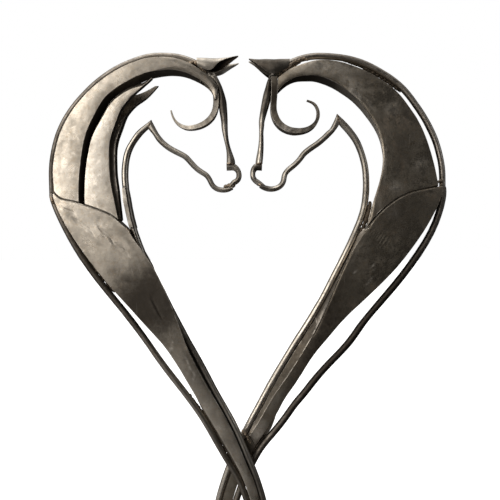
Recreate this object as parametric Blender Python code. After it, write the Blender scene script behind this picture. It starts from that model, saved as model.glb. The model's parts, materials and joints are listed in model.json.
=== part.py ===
"""Two forged steel horses whose heads, necks and bodies close a heart, on a low base plate.

Metres, +Z up. The work faces -Y, X runs to the right, and the origin is under the middle of the base.
The outlines are drawn on squares, DRAWN_HEIGHT of them to the figure's height, with x counted from
the middle of the heart and z from the top of the base. Bars, rods, plates and gaps have real sizes.
"""

import math

import bmesh
import bpy
from mathutils import Vector

# Overall sizes
FIGURE_HEIGHT = 1.266
DRAWN_HEIGHT = 506.4
BODY_DEPTH = 0.056
STEM_DEPTH = 0.026
WELD_GAP = 0.0003

# Base plate
BASE_THICKNESS = 0.012
BASE_LENGTH = 0.440
BASE_DEPTH = 0.260
BASE_CHAMFER = 0.003

# Rods, bars and plates
ROD_DIAMETER = 0.016
ROD_SIDES = 8
THROAT_BAR_WIDTH = 0.0150
THROAT_BAR_DEPTH = 0.018
THROAT_BAR_ROOM = 0.001
JAW_BAR_WIDTH = 0.0132
JAW_BAR_DEPTH = 0.018
CHIN_BAR_WIDTH = 0.0115
CHIN_END_SHARE = 0.65
NOSTRIL_WIDTH = 0.0165
NOSE_BAR_WIDTH = 0.0118
NOSE_BAR_DEPTH = 0.018
LIP_REACH = 0.92
FACE_BAR_DEPTH = 0.022
CURL_TIP_WIDTH = 0.0030
CURL_TIP_DEPTH_SHARE = 0.4
LEFT_CURL_WIDTH = 0.0135
LEFT_CURL_DEPTH = 0.024
RIGHT_CURL_WIDTH = 0.0155
RIGHT_CURL_DEPTH = 0.030
RIB_WIDTH = 0.0095
RIB_LENGTH = 0.108
BAR_CORNER = 0.0046
FACE_BAR_CORNER = 0.0060
CORNER_MOST = 0.38
PLATE_LIP = 0.0015
PLATE_CROWN = 0.0025
PLATE_STEP = 0.0005
SEAM_BEVEL = 0.0032
CREST_RIDGE = 0.004
LEAF_TIP_THICKNESS = 0.011
BACK_LEAF_LEDGE = 0.008
FRONT_LEAF_OPENING = 0.012
BACK_LEAF_OPENING = 0.020
LEAF_START = 0.331
RIGHT_BACK_INSET = 0.014
BACK_PLATE_MOST = 0.8
POLL_LIP = 0.003
LEFT_ROD_STANDOFF = 0.025
RIGHT_ROD_STANDOFF = 0.044
RIGHT_CREST_STANDOFF = 0.021

# Ears
EAR_SHEET = 0.0022
EAR_SHEET_MOST = 0.45
EAR_RINGS = 9
EAR_HALF_HEIGHT = 0.020
EAR_HALF_WIDTH = 0.0115
LEFT_EAR_SPREAD = 0.052
RIGHT_EAR_SPREAD = 0.020
EAR_INNER_RIM = -140
EAR_PROFILE = ((0.0, 0.60), (0.15, 0.80), (0.32, 0.97), (0.51, 0.86), (0.75, 0.46), (1.0, 0.09))

# How far round its outer side an ear's sheet reaches, in degrees from the top, from root to tip
LEFT_EAR_RIM = ((0.0, 150), (0.31, 131), (0.41, 100), (0.65, 56), (1.0, 25))
RIGHT_EAR_RIM = ((0.0, 160), (0.30, 158), (0.60, 145), (0.80, 125), (1.0, 90))

# Heights, in squares, between which the two bodies thin down to pass each other
LEAN_TOP = 245
LEAN_END = 150
LAP_TOP = 240
LAP_END = 190

# Heights, in squares, at which the cheek curls part from the face bars
LEFT_CURL_LEAVES = 448
RIGHT_CURL_LEAVES = 452

SQUARE = FIGURE_HEIGHT / DRAWN_HEIGHT
FIGURE_BOTTOM = BASE_THICKNESS + WELD_GAP
ROD_RADIUS = ROD_DIAMETER / 2

STEEL = {
    "blade": ((0.42, 0.37, 0.31), 0.42),
    "dark_plate": ((0.20, 0.17, 0.14), 0.45),
    "rod": ((0.30, 0.27, 0.24), 0.40),
    "bar": ((0.36, 0.32, 0.28), 0.40),
    "base": ((0.16, 0.14, 0.12), 0.55),
}

# Left horse, drawn in squares
LEFT_NECK_OUTER = (
    (-33.4, 459.5), (-31.2, 468.5), (-35, 477), (-44, 484), (-57, 492.5), (-69, 497), (-83, 499),
    (-98, 498.5), (-119.5, 492), (-136, 483.5), (-151.5, 472), (-173.5, 448), (-185, 427.5),
    (-191, 406), (-193, 386.5), (-192.5, 366.5),
)
LEFT_NECK_INNER = (
    (-35, 459), (-37.4, 466), (-41.4, 472.5), (-49, 477.5), (-58.5, 482.5), (-68.5, 486), (-78.5, 487),
    (-98, 485), (-114.5, 479), (-141, 461), (-152.5, 443), (-161.5, 422.5), (-166, 399), (-168, 377.5),
    (-168.5, 356),
)
LEFT_SEAM = (
    (-192.5, 366.5), (-188, 361.5), (-178, 358.5), (-168.5, 356), (-159.5, 353), (-145, 348),
    (-134, 342.5), (-126.5, 335.5), (-120, 329.5),
)
LEFT_SHOULDER_OUTER = (
    (-192.5, 366.5), (-191.5, 357), (-186, 345.5), (-176, 325.5), (-162.5, 307), (-150, 289.5),
    (-136, 273), (-116.5, 251.5), (-98, 231.5), (-81.5, 212), (-68.5, 192.5), (-56, 171), (-40, 144.5),
    (-19.5, 109.5), (-7.5, 87), (0, 65), (7, 42), (10.5, 20), (11.5, 0),
)
LEFT_SHOULDER_INNER = (
    (-120, 329.5), (-112.5, 318), (-105, 308), (-94, 291.5), (-86.5, 277), (-79.5, 261), (-72.5, 243),
    (-67, 227), (-58.5, 208), (-49.5, 188.5), (-35, 163), (-19.5, 134.5), (-7.5, 108.5), (3, 86),
    (9.5, 65), (15, 42), (18.2, 20), (19, 0),
)
LEFT_THROAT = (
    (-109, 428), (-116, 419), (-121.7, 408), (-124.4, 395), (-124.9, 382), (-123.9, 370), (-121, 351),
    (-116.8, 333), (-110, 313), (-103.7, 298), (-95.7, 283), (-83.5, 259), (-69.6, 232), (-56.8, 210),
    (-33.8, 169), (-15.6, 136.5), (-1.6, 104), (9.2, 76), (13.3, 60), (18, 38), (20.6, 15), (21, 0),
)
LEFT_CURL = (
    (-46, 481), (-38.3, 474.8), (-34.5, 467), (-33.9, 459), (-34.5, 450.5), (-38.5, 442), (-45.3, 436),
    (-54, 432.5), (-62.5, 431.8), (-70, 434.6), (-75.7, 440.3), (-78.9, 449.2),
)
LEFT_FACE_OUTER = (
    (-33.5, 484), (-29, 475), (-25.5, 465), (-23.2, 453), (-22.7, 440), (-22.5, 430), (-21.5, 420),
    (-19, 410), (-15.8, 401), (-15, 398),
)
LEFT_FACE_INNER = ((-28.8, 440), (-27.8, 430), (-25.8, 420), (-23.6, 410), (-23, 401), (-23.2, 398))
LEFT_NOSE = (
    (-23.4, 392.8), (-15.8, 392.6), (-12.2, 389.2), (-11.0, 384.5), (-12.3, 380), (-16.5, 377),
)
LEFT_JAW = (
    (-95, 427.3), (-90, 420), (-84.5, 414.8), (-78, 410.3), (-70, 406.2), (-64.5, 403), (-60, 398.5),
    (-55.5, 393.5), (-50, 388.8), (-45, 385.9), (-41, 381.3), (-38.5, 376.2), (-34.5, 371.9),
    (-28.5, 370), (-23.5, 370.2), (-17.2, 372),
)
LEFT_JAW_CORNER = ((-98.5, 439.6), (-101.5, 431.2))

# Right horse, drawn in squares
RIGHT_NECK_OUTER = (
    (27.2, 480), (32.5, 484.5), (39, 488), (55, 494), (71.5, 496.5), (87.5, 494.5), (104, 489.5),
    (116.5, 484), (142, 467), (152.5, 455), (163.5, 439), (171.5, 422.5), (178, 403), (183, 383), (185, 374),
)
RIGHT_NECK_INNER = (
    (27.2, 467), (30.5, 470.5), (35, 474.5), (40, 478), (47, 480.5), (59, 481.5), (71.5, 480),
    (83, 474.5), (96, 465.5), (106.5, 456), (117.5, 441), (125.5, 426.5), (129, 412), (130, 399),
    (128, 382.5), (123.5, 366), (119.5, 354), (117, 343), (115.5, 333),
)
RIGHT_SEAM = (
    (189, 373.5), (180, 371), (162.5, 368), (150, 363), (142, 358.5), (134, 352.5), (123.5, 342.5),
    (114.5, 331),
)
RIGHT_SHOULDER_OUTER = (
    (189, 373.5), (186, 357), (176.5, 338.5), (165.5, 320), (153.5, 303), (139, 288), (125.5, 274),
    (106.5, 256), (89.5, 239), (75.7, 222.4), (63.1, 206.4), (46.3, 178.5), (33, 158), (24, 141),
    (15, 128), (5.4, 114.5),
)
RIGHT_SHOULDER_INNER = (
    (114.5, 331), (102, 311), (89.5, 288.5), (78.5, 262), (61, 225.4), (40.7, 190), (21, 160),
    (11, 142), (-0.4, 124.3),
)
RIGHT_STEM_OUTER = ((-3, 97), (-9, 82), (-13.5, 70), (-18, 55), (-24, 30), (-27, 10), (-27.5, 0))
RIGHT_STEM_INNER = (
    (-7.5, 110.5), (-14, 95), (-21.5, 75), (-26.2, 60), (-32, 35), (-35, 12), (-35.5, 0),
)
RIGHT_THROAT = (
    (93.5, 435.2), (104.5, 421.7), (110.8, 408), (115, 392), (116, 376), (115.3, 362), (112.5, 347),
    (107, 332), (94.3, 304.5), (83, 282.5), (76, 268.5), (60, 240.5), (43, 213.5), (23.7, 180.5),
    (12, 158.5), (1, 138.5), (-7, 123), (-14.5, 108), (-21.5, 90), (-27.5, 73), (-31.3, 60),
    (-36.5, 35), (-39.3, 12), (-39.8, 0),
)
RIGHT_CURL = (
    (24, 482), (24, 473), (24, 463), (23.3, 453), (24.8, 443), (30, 434.5), (38, 429.6), (48, 428.2),
    (58.3, 430.6), (65.6, 437), (68, 446), (65.2, 454.8), (56.5, 459.3),
)
RIGHT_FACE_OUTER = (
    (24, 489), (18.5, 481.5), (15, 470), (11.5, 457), (9.4, 439), (9.2, 420), (7.7, 408), (6.2, 401),
    (6, 398),
)
RIGHT_FACE_INNER = ((15, 441), (13.4, 430), (13.3, 415), (12.9, 405), (12.2, 398))
RIGHT_NOSE = ((12, 392.8), (5.8, 392.6), (3.3, 389.2), (2.7, 384.8), (4.2, 380.4), (8.2, 377.3))
RIGHT_JAW = (
    (83, 431), (77, 424.6), (68, 416.7), (60, 411.2), (54, 406.3), (50, 401), (46, 396.6), (41, 392.2),
    (36.6, 388.3), (34, 383.3), (33.2, 378.3), (30.5, 374.2), (25.5, 371.5), (19.5, 370.9),
    (14.5, 372.1), (9.8, 373.9),
)
RIGHT_JAW_CORNER = ((86.8, 445.6), (89.4, 436))

# Ears, along their middle from the root to the tip
LEFT_EAR = ((-52.0, 494.7), (-39.3, 491.3), (-30.5, 491.7), (-21.2, 495.5), (-11.5, 499.9))
RIGHT_EAR = ((38.5, 493.7), (28.2, 490.8), (21.0, 490.6), (16.4, 492.3), (8.8, 495.1), (-1.2, 499.4))

# How far the bodies' edges and rods stand off, as (height in squares, share of the greatest)
LEFT_ROD_PROFILE = (
    (0, 0.0), (64, 0.04), (84, 0.14), (105, 0.30), (121, 0.31), (140, 0.27), (158, 0.35), (174, 0.54),
    (190, 0.83), (205, 1.0), (218, 1.0), (230, 0.88), (242, 0.70), (256, 0.52), (285, 0.39), (304, 0.34),
    (322, 0.23), (334, 0.12), (346, 0.05), (358, 0.07), (368, 0.18),
)
RIGHT_ROD_PROFILE = (
    (0, 0.0), (70, 0.02), (97, 0.12), (114, 0.20), (136, 0.31), (153, 0.45), (173, 0.60), (186, 0.69),
    (204, 0.88), (222, 1.0), (237, 0.99), (252, 0.81), (267, 0.67), (285, 0.54), (303, 0.42), (322, 0.41),
    (340, 0.34), (352, 0.26), (360, 0.13), (367, 0.03), (374, 0.0),
)
RIGHT_CREST_PROFILE = (
    (0.0, 0.36), (0.12, 0.57), (0.22, 0.47), (0.34, 0.72), (0.50, 0.85), (0.70, 0.87), (0.83, 1.0),
    (0.92, 0.88), (1.0, 0.48),
)

# How far the stem spreads towards the back rod, as (height in squares, share of the rod's distance)
STEM_SPREAD = ((0, 0.0), (84, 0.0), (100, 0.7), (138, 0.7), (150, 0.0), (300, 0.0))

# How far the left shoulder's outer wall bulges towards the back rod, in the same way
LEFT_WALL_SPREAD = (
    (0, 0.0), (60, 0.0), (80, 0.75), (150, 0.85), (166, 0.2), (176, 0.0), (244, 0.0), (258, 0.3),
    (272, 0.9), (335, 0.9), (352, 0.4), (370, 0.0), (400, 0.0),
)

# Places across the seams where the necks' plates end, as shares of the seam
LEFT_BLADE_SHARES = (0.0, 0.11, 0.22, 0.326)
LEFT_LEAF_SHARES = (0.40, 0.507, 0.615, 0.722, 0.83)
RIGHT_NECK_SHARES = (0.05, 0.20, 0.36, 0.51, 0.66, 0.82, 0.97)


def draw(points):
    """The drawn squares as real places (x, z)."""
    return [Vector((x * SQUARE, z * SQUARE + FIGURE_BOTTOM)) for x, z in points]


def ease(share):
    share = min(max(share, 0.0), 1.0)
    return share * share * (3 - 2 * share)


def mix(a, b, share):
    return a + (b - a) * share


def dense(points, steps=14):
    """A smooth curve through the points, as many short straight steps."""
    if len(points) == 2:
        return list(points)
    ends = [2 * points[0] - points[1], *points, 2 * points[-1] - points[-2]]
    curve = [points[0]]
    for p0, p1, p2, p3 in zip(ends, ends[1:], ends[2:], ends[3:]):
        k0 = 0.0
        k1 = k0 + math.sqrt((p1 - p0).length)
        k2 = k1 + math.sqrt((p2 - p1).length)
        k3 = k2 + math.sqrt((p3 - p2).length)
        for step in range(1, steps + 1):
            k = mix(k1, k2, step / steps)
            a1 = p0.lerp(p1, (k - k0) / (k1 - k0))
            a2 = p1.lerp(p2, (k - k1) / (k2 - k1))
            a3 = p2.lerp(p3, (k - k2) / (k3 - k2))
            b1 = a1.lerp(a2, (k - k0) / (k2 - k0))
            b2 = a2.lerp(a3, (k - k1) / (k3 - k1))
            curve.append(b1.lerp(b2, (k - k1) / (k2 - k1)))
    return curve


def along(points, shares):
    """Places at the given shares of the smooth curve's length."""
    curve = dense(points)
    reach = [0.0]
    for a, b in zip(curve, curve[1:]):
        reach.append(reach[-1] + (b - a).length)
    found = []
    for share in shares:
        target = min(max(share, 0.0), 1.0) * reach[-1]
        k = next(i for i in range(1, len(reach)) if reach[i] >= target or i == len(reach) - 1)
        found.append(curve[k - 1].lerp(curve[k], (target - reach[k - 1]) / (reach[k] - reach[k - 1])))
    return found


def profile(pairs, share):
    """The value at a share, read from a smooth curve through (share, value) pairs."""
    curve = dense([Vector(pair) for pair in pairs])
    for a, b in zip(curve, curve[1:]):
        if share <= b.x:
            return mix(a.y, b.y, min(max((share - a.x) / (b.x - a.x), 0.0), 1.0))
    return curve[-1].y


def nearest_share(points, place):
    """The share of the smooth curve's length that lies nearest a place."""
    curve = dense(points)
    total = sum((b - a).length for a, b in zip(curve, curve[1:]))
    best, found, run = None, 0.0, 0.0
    for a, b in zip(curve, curve[1:]):
        step = b - a
        t = min(max((place - a).dot(step) / step.length_squared, 0.0), 1.0)
        away = (a + step * t - place).length
        if best is None or away < best:
            best, found = away, (run + step.length * t) / total
        run += step.length
    return found


def even(count, start=0.0, end=1.0):
    return [mix(start, end, i / (count - 1)) for i in range(count)]


def tangents(path):
    found = []
    for i in range(len(path)):
        step = path[min(i + 1, len(path) - 1)] - path[max(i - 1, 0)]
        found.append(step.normalized())
    return found


def sides(path):
    """The direction to the left of travel at each place of the path."""
    return [Vector((-t.y, t.x)) for t in tangents(path)]


def beside(path, distances):
    """The path moved to its left by a distance at each place."""
    return [p + n * d for p, n, d in zip(path, sides(path), distances)]


def square_height(z):
    return (z - FIGURE_BOTTOM) / SQUARE


def front_back(horse, z):
    """Where the horse's body begins and ends in depth at a height: -1 is the left horse, +1 the right."""
    lean = ease((LEAN_TOP - square_height(z)) / (LEAN_TOP - LEAN_END))
    far = STEM_DEPTH + WELD_GAP / 2
    near = WELD_GAP / 2
    if horse < 0:
        return mix(-BODY_DEPTH / 2, -far, lean), mix(BODY_DEPTH / 2, -near, lean)
    return mix(-BODY_DEPTH / 2, near, lean), mix(BODY_DEPTH / 2, far, lean)


def middle(horse, z):
    front, back = front_back(horse, z)
    return (front + back) / 2


def steel(name, kind):
    colour, roughness = STEEL[kind]
    material = bpy.data.materials.new(name)
    material.use_nodes = True
    shader = material.node_tree.nodes["Principled BSDF"]
    shader.inputs["Base Color"].default_value = (*colour, 1.0)
    shader.inputs["Metallic"].default_value = 1.0
    shader.inputs["Roughness"].default_value = roughness
    return material


def piece(name, kind, verts, faces, smooth=False):
    """One closed body with its faces pointing out."""
    shape = bmesh.new()
    corners = [shape.verts.new(v) for v in verts]
    for face in faces:
        shape.faces.new([corners[i] for i in face])
    bmesh.ops.recalc_face_normals(shape, faces=shape.faces)
    mesh = bpy.data.meshes.new(name)
    shape.to_mesh(mesh)
    shape.free()
    mesh.materials.append(steel(name, kind))
    if smooth:
        mesh.shade_smooth()
        mesh.set_sharp_from_angle(angle=math.radians(50))
    made = bpy.data.objects.new(name, mesh)
    bpy.context.scene.collection.objects.link(made)
    return made


def loft(name, kind, rings, caps=None, smooth=False):
    """A skin over rings that have the same number of corners, with both ends closed."""
    size = len(rings[0])
    verts = [v for ring in rings for v in ring]
    faces = []
    for r in range(len(rings) - 1):
        low, high = r * size, (r + 1) * size
        for i in range(size):
            j = (i + 1) % size
            faces.append((low + i, low + j, high + j, high + i))
    last = (len(rings) - 1) * size
    for cap in caps or [tuple(range(size))]:
        faces.append(tuple(reversed(cap)))
        faces.append(tuple(last + i for i in cap))
    return piece(name, kind, verts, faces, smooth)


def bar(name, kind, left, right, near, far):
    """A four-cornered bar between a left and a right edge, from near to far in depth."""
    rings = []
    for a, b, y0, y1 in zip(left, right, near, far):
        rings.append([(a.x, y0, a.y), (b.x, y0, b.y), (b.x, y1, b.y), (a.x, y1, a.y)])
    loft(name, kind, rings)


def forged_bar(name, left, right, near, far, corner=BAR_CORNER):
    """An eight-cornered bar between a left and a right edge, from near to far in depth."""
    rings = []
    for a, b, y0, y1 in zip(left, right, near, far):
        cut = min(corner, CORNER_MOST * (b - a).length, CORNER_MOST * (y1 - y0))
        step = (b - a).normalized() * cut
        c, d = a + step, b - step
        rings.append([
            (a.x, y0 + cut, a.y), (c.x, y0, c.y), (d.x, y0, d.y), (b.x, y0 + cut, b.y),
            (b.x, y1 - cut, b.y), (d.x, y1, d.y), (c.x, y1, c.y), (a.x, y1 - cut, a.y),
        ])
    loft(name, "bar", rings)


def rod(name, path, turned, middles):
    """A round rod along a path; turned are the directions square to it at each place."""
    rings = []
    for place, side, y in zip(path, turned, middles):
        ring = []
        for i in range(ROD_SIDES):
            angle = 2 * math.pi * i / ROD_SIDES
            spot = place + side * (ROD_RADIUS * math.cos(angle))
            ring.append((spot.x, y + ROD_RADIUS * math.sin(angle), spot.y))
        rings.append(ring)
    if square_height(path[-1].y) < 1:
        rings[-1] = [(x, y, FIGURE_BOTTOM) for x, y, z in rings[-1]]
    loft(name, "rod", rings, smooth=True)


def crowned(count, near, share_of_crown=1.0):
    """Depths across a plate whose middle stands proud of its edges; near is its most forward depth."""
    return [near + share_of_crown * PLATE_CROWN * (2 * a - 1) ** 2 for a in even(count)]


def body_ring(row, back_row, front, back, inner_wall, outer_wall):
    """One ring round a sheet-metal body: front face, inner wall, back face, outer wall."""
    count = len(row)
    fullness = min(1.0, (back - front) / BODY_DEPTH)
    ring = [(p.x, y, p.y) for p, y in zip(row, crowned(count, front, fullness))]
    ring += [(p.x, y, p.y) for p, y in inner_wall]
    ring += [(p.x, -y, p.y) for p, y in reversed(list(zip(back_row, crowned(count, -back, fullness))))]
    ring += [(p.x, y, p.y) for p, y in outer_wall]
    return ring


def body_caps(count, inner, outer):
    """End faces that follow the rows across, so that a curved seam stays curved."""
    start_back = count + inner
    caps = []
    for j in range(count - 1):
        far = start_back + count - 1 - j
        caps.append((j, j + 1, far - 1, far))
    if inner:
        caps.append(tuple(range(count - 1, start_back + 1)))
    if outer:
        caps.append((*range(start_back + count - 1, start_back + count + outer), 0))
    return caps


def across(outer, inner, count):
    return [outer.lerp(inner, a) for a in even(count)]


def shifted(row, distance):
    """A row moved square to itself, towards its left."""
    return beside(row, [distance] * len(row))


def grounded(points):
    """The same places, with the last one flat on the base."""
    return points[:-1] + [Vector((points[-1].x, FIGURE_BOTTOM))]


def row_height(row):
    return (row[0].y + row[-1].y) / 2


def shoulder_rows(seam, shares, down, outer, inner, stations, last=(1.0, 1.0)):
    """Rows across a shoulder: two follow the curved seam, which then fades into straight ones."""
    top = along(seam, shares)
    below = shifted(top, down * SEAM_BEVEL)
    below[0] = outer[0] + (outer[1] - outer[0]).normalized() * SEAM_BEVEL
    below[-1] = inner[0] + (inner[1] - inner[0]).normalized() * SEAM_BEVEL
    bulge = [p - top[0].lerp(top[-1], s) for p, s in zip(top, shares)]
    rows = [top, below]
    for share in stations:
        b, = along(inner, [share * last[1]])
        square_on = nearest_share(outer, b) * ease(0.05 + share / 0.30)
        a, = along(outer, [mix(square_on, last[0], ease((share - 0.9) / 0.1))])
        fade = max(0.0, 1 - share / 0.30) ** 2
        rows.append([a.lerp(b, s) + bend * fade for s, bend in zip(shares, bulge)])
    return rows


def throat_line(throat, rows, free):
    """Places down a throat bar: some above the shoulder, then one beside each row of the body."""
    shares = [nearest_share(throat, row[-1]) for row in rows]
    shares[-1] = 1.0
    return along(throat, even(free + 1, 0.0, shares[0])[:-1] + shares)


def shoulder(name, kind, horse, rows, bar_edge, backs, bulges=None):
    """A sheet-metal shoulder whose inner walls lean against the throat bar; its outer wall may bulge."""
    rings = []
    bulges = bulges or [None] * len(rows)
    for row, edge, back, bulge, bevel in zip(rows, bar_edge, backs, bulges, [SEAM_BEVEL] + [0.0] * len(rows)):
        front = front_back(horse, row_height(row))[0] + bevel
        back -= bevel
        fold = (PLATE_CROWN + PLATE_LIP) * min(1.0, (back - front) / BODY_DEPTH)
        centre = middle(horse, edge.y)
        reach = THROAT_BAR_DEPTH / 2 + THROAT_BAR_ROOM
        first, last = front + fold, back - fold
        near = min(max(centre - reach, first + PLATE_STEP), last - 2 * PLATE_STEP)
        far = min(max(centre + reach, near + PLATE_STEP), last - PLATE_STEP)
        flush = row[:-1] + [hidden_end(row, edge)]
        wall = [(row[-1], first), (edge, near), (edge, far), (flush[-1], last)]
        outer_wall = [(bulge, (front + back) / 2)] if bulge else []
        rings.append(body_ring(row, flush, front, back, wall, outer_wall))
    loft(name, kind, rings, body_caps(len(rows[0]), 4, len(outer_wall)))


def hidden_end(row, edge):
    """Where a row's back plate ends: drawn in behind the throat bar wherever the front plate covers it."""
    strip = row[-1] - row[-2]
    covered = (row[-1] - edge).dot(strip.normalized())
    return row[-1] - strip * min(max(covered / strip.length, 0.0), BACK_PLATE_MOST)


def lap_back(z):
    """The back of the right shoulder, which thins to make room for the stem behind it."""
    lap = ease((LAP_TOP - square_height(z)) / (LAP_TOP - LAP_END))
    return mix(front_back(1, z)[1], (WELD_GAP + STEM_DEPTH) / 2, lap)


def left_neck(seam):
    """The long blade along the crest and the two leaves inside it, which end on the seam."""
    outer, inner = draw(LEFT_NECK_OUTER), draw(LEFT_NECK_INNER)
    stations = even(7, 0.0, 0.27) + even(12, LEAF_START, 0.93)
    first_leaf = 7
    groove_at = ((0.0, 1.0), (0.25, 1.5), (0.33, 7.6), (0.55, 8.3), (0.75, 7.0), (1.0, 5.6))
    leaf_at = (
        (0.33, 0.8), (0.375, 3.2), (0.46, 8.2), (0.55, 12.0), (0.70, 17.0), (0.88, 24.0), (1.0, 31.0),
    )
    lips = LEFT_CURL_DEPTH / 2 + WELD_GAP + POLL_LIP
    half_at = ((0.0, lips), (0.30, BODY_DEPTH / 2), (1.0, BODY_DEPTH / 2))
    outer_line = along(outer, stations)
    inner_line = along(inner, stations)
    grooves = [profile(groove_at, s) * SQUARE for s in stations]
    crest = beside(outer_line, [-CREST_RIDGE * ease(s / 0.12) for s in stations])
    ridge = beside(inner_line, [g / 2 for g in grooves])
    halves = [profile(half_at, s) for s in stations]
    blade_rows = [across(a, b, 4) for a, b in zip(outer_line, inner_line)]
    blade_end = along(seam, LEFT_BLADE_SHARES)
    leaf_end = along(seam, LEFT_LEAF_SHARES)
    groove_end, = along(seam, [(LEFT_BLADE_SHARES[-1] + LEFT_LEAF_SHARES[0]) / 2])
    for rise, half in ((SEAM_BEVEL + WELD_GAP, BODY_DEPTH / 2), (WELD_GAP, BODY_DEPTH / 2 - SEAM_BEVEL)):
        blade_rows.append(shifted(blade_end, rise))
        ridge.append(groove_end + Vector((0, rise)))
        crest.append(blade_rows[-1][0] + Vector((-CREST_RIDGE, 0)))
        halves.append(half)
    rings = []
    for row, top, low, half in zip(blade_rows, crest, ridge, halves):
        rings.append(body_ring(row, row, -half, half, [(low, 0.0)], [(top, 0.0)]))
    blade = loft("left_outer_neck_blade", "blade", rings, body_caps(4, 1, 1))

    leaf_outer = beside(inner_line, grooves)[first_leaf:]
    leaf_inner = beside(inner_line, [g + profile(leaf_at, s) * SQUARE for g, s in zip(grooves, stations)])
    leaf_inner = leaf_inner[first_leaf:]
    floor = beside(inner_line, [g / 2 + WELD_GAP for g in grooves])[first_leaf:]
    leaf_shares = stations[first_leaf:]
    for name, facing, ledge, opening, bend in (
        ("front", -1, 0.0, FRONT_LEAF_OPENING, 0.14), ("back", 1, BACK_LEAF_LEDGE, BACK_LEAF_OPENING, 0.30),
    ):
        rings = []
        runs = [s - LEAF_START for s in leaf_shares]
        opened = [opening * ease(1 - run / bend) for run in runs]
        reach = [opening * ease(1 - run / (0.6 * bend)) + ledge * ease((run - 0.06) / 0.12) for run in runs]
        rows = [across(a, b, 5) for a, b in zip(beside(leaf_outer, opened), beside(leaf_inner, reach))]
        under = beside(floor, opened)
        tip_depth = BODY_DEPTH / 2 - LEAF_TIP_THICKNESS
        depths = [mix(tip_depth, WELD_GAP / 2, ease((s - LEAF_START) / 0.35)) for s in leaf_shares]
        tops = [BODY_DEPTH / 2] * len(rows)
        for rise, half in ((SEAM_BEVEL + WELD_GAP, BODY_DEPTH / 2), (WELD_GAP, BODY_DEPTH / 2 - SEAM_BEVEL)):
            rows.append(shifted(leaf_end, rise))
            under.append(groove_end + Vector((WELD_GAP, rise)))
            depths.append(WELD_GAP / 2)
            tops.append(half)
        for row, low, deep, half in zip(rows, under, depths, tops):
            ring = [(p.x, facing * -y, p.y) for p, y in zip(row, crowned(5, -half))]
            ring += [(p.x, facing * deep, p.y) for p in reversed([low, *row[1:]])]
            rings.append(ring)
        loft(f"left_inner_neck_leaf_{name}", "blade", rings, body_caps(5, 0, 0))
    slot_for_curl(blade)
    return outer_line


def slot_for_curl(blade):
    """Opens the blade's tip, where the cheek curl starts between its two lips."""
    start, direction = curl_root()
    side = Vector((-direction.y, direction.x)) * 0.05
    half = LEFT_CURL_DEPTH / 2 + WELD_GAP
    rings = []
    for place in (start, start + direction * 0.12):
        a, b = place + side, place - side
        rings.append([(a.x, -half, a.y), (b.x, -half, b.y), (b.x, half, b.y), (a.x, half, a.y)])
    cutter = loft("curl_slot", "bar", rings)
    cutter.hide_render = True
    cutter.display_type = "WIRE"
    cut = blade.modifiers.new("curl slot", "BOOLEAN")
    cut.operation = "DIFFERENCE"
    cut.object = cutter


def curl_root():
    """Where the left cheek curl starts, and its direction there."""
    start, after = draw(LEFT_CURL[:2])
    return start, (after - start).normalized()


def left_shoulder(seam):
    """The left shoulder, its throat bar and the two short ribs that brace the bar above it."""
    outer, inner = draw(LEFT_SHOULDER_OUTER), draw(LEFT_SHOULDER_INNER)
    shares = LEFT_BLADE_SHARES + LEFT_LEAF_SHARES + (1.0,)
    rows = shoulder_rows(seam, shares, -1, outer, inner, even(17, 0.035, 1.0))
    free = 12
    path = throat_line(draw(LEFT_THROAT), rows, free)
    reach = [-THROAT_BAR_WIDTH / 2 - WELD_GAP] * len(path)
    bar_edge = grounded(beside(path, reach))[free:]
    backs = [front_back(-1, row_height(row))[1] for row in rows]
    bulges = []
    for row in rows:
        height = square_height(row[0].y)
        away = LEFT_ROD_STANDOFF * profile(LEFT_ROD_PROFILE, height) * profile(LEFT_WALL_SPREAD, height)
        bulges.append(row[0] + (row[0] - row[1]).normalized() * away)
    shoulder("left_shoulder", "blade", -1, rows, bar_edge, backs, bulges)
    throat_bar("left_throat_bar", -1, path, draw(LEFT_JAW_CORNER))
    throat_ribs(path[:free + 1])
    return [rows[0][0]] + [row[0] for row in rows[2:]]


def throat_bar(name, horse, path, corner):
    """A forged bar from the jaw's mitred corner down to the base."""
    outside, inside = mitred(corner, path[0])
    ends = (inside, outside) if horse < 0 else (outside, inside)
    half = THROAT_BAR_WIDTH / 2
    left = grounded([ends[0]] + beside(path, [half] * len(path)))
    right = grounded([ends[1]] + beside(path, [-half] * len(path)))
    middles = [middle(horse, path[0].y)] + [middle(horse, p.y) for p in path]
    near = [m - THROAT_BAR_DEPTH / 2 for m in middles]
    far = [m + THROAT_BAR_DEPTH / 2 for m in middles]
    forged_bar(name, left, right, near, far)


def mitred(corner, first):
    """The corner's two places, drawn back half a gap towards the bar that starts at first."""
    outside, inside = corner
    away = Vector((outside.y - inside.y, inside.x - outside.x)).normalized()
    if (first - outside).dot(away) < 0:
        away = -away
    return outside + away * (WELD_GAP / 2), inside + away * (WELD_GAP / 2)


def throat_ribs(path):
    """Short round-topped ribs in front of and behind the throat bar, down to the shoulder."""
    length = sum((b - a).length for a, b in zip(path, path[1:]))
    shares = even(8, 1 - RIB_LENGTH / length, 0.985)
    shares[1] = mix(shares[0], shares[1], 0.4)
    tip = [0.35, 0.8] + [1.0] * (len(shares) - 2)
    line = along(path, shares)
    root = THROAT_BAR_DEPTH / 2 + WELD_GAP
    for side, name in ((-1, "front"), (1, "back")):
        left = beside(line, [RIB_WIDTH / 2 * t for t in tip])
        right = beside(line, [-RIB_WIDTH / 2 * t for t in tip])
        inside = [side * root for t in tip]
        outside = [side * mix(root + 0.004, BODY_DEPTH / 2, t) for t in tip]
        bar(f"left_throat_rib_{name}", "bar", left, right, inside, outside)


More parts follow.
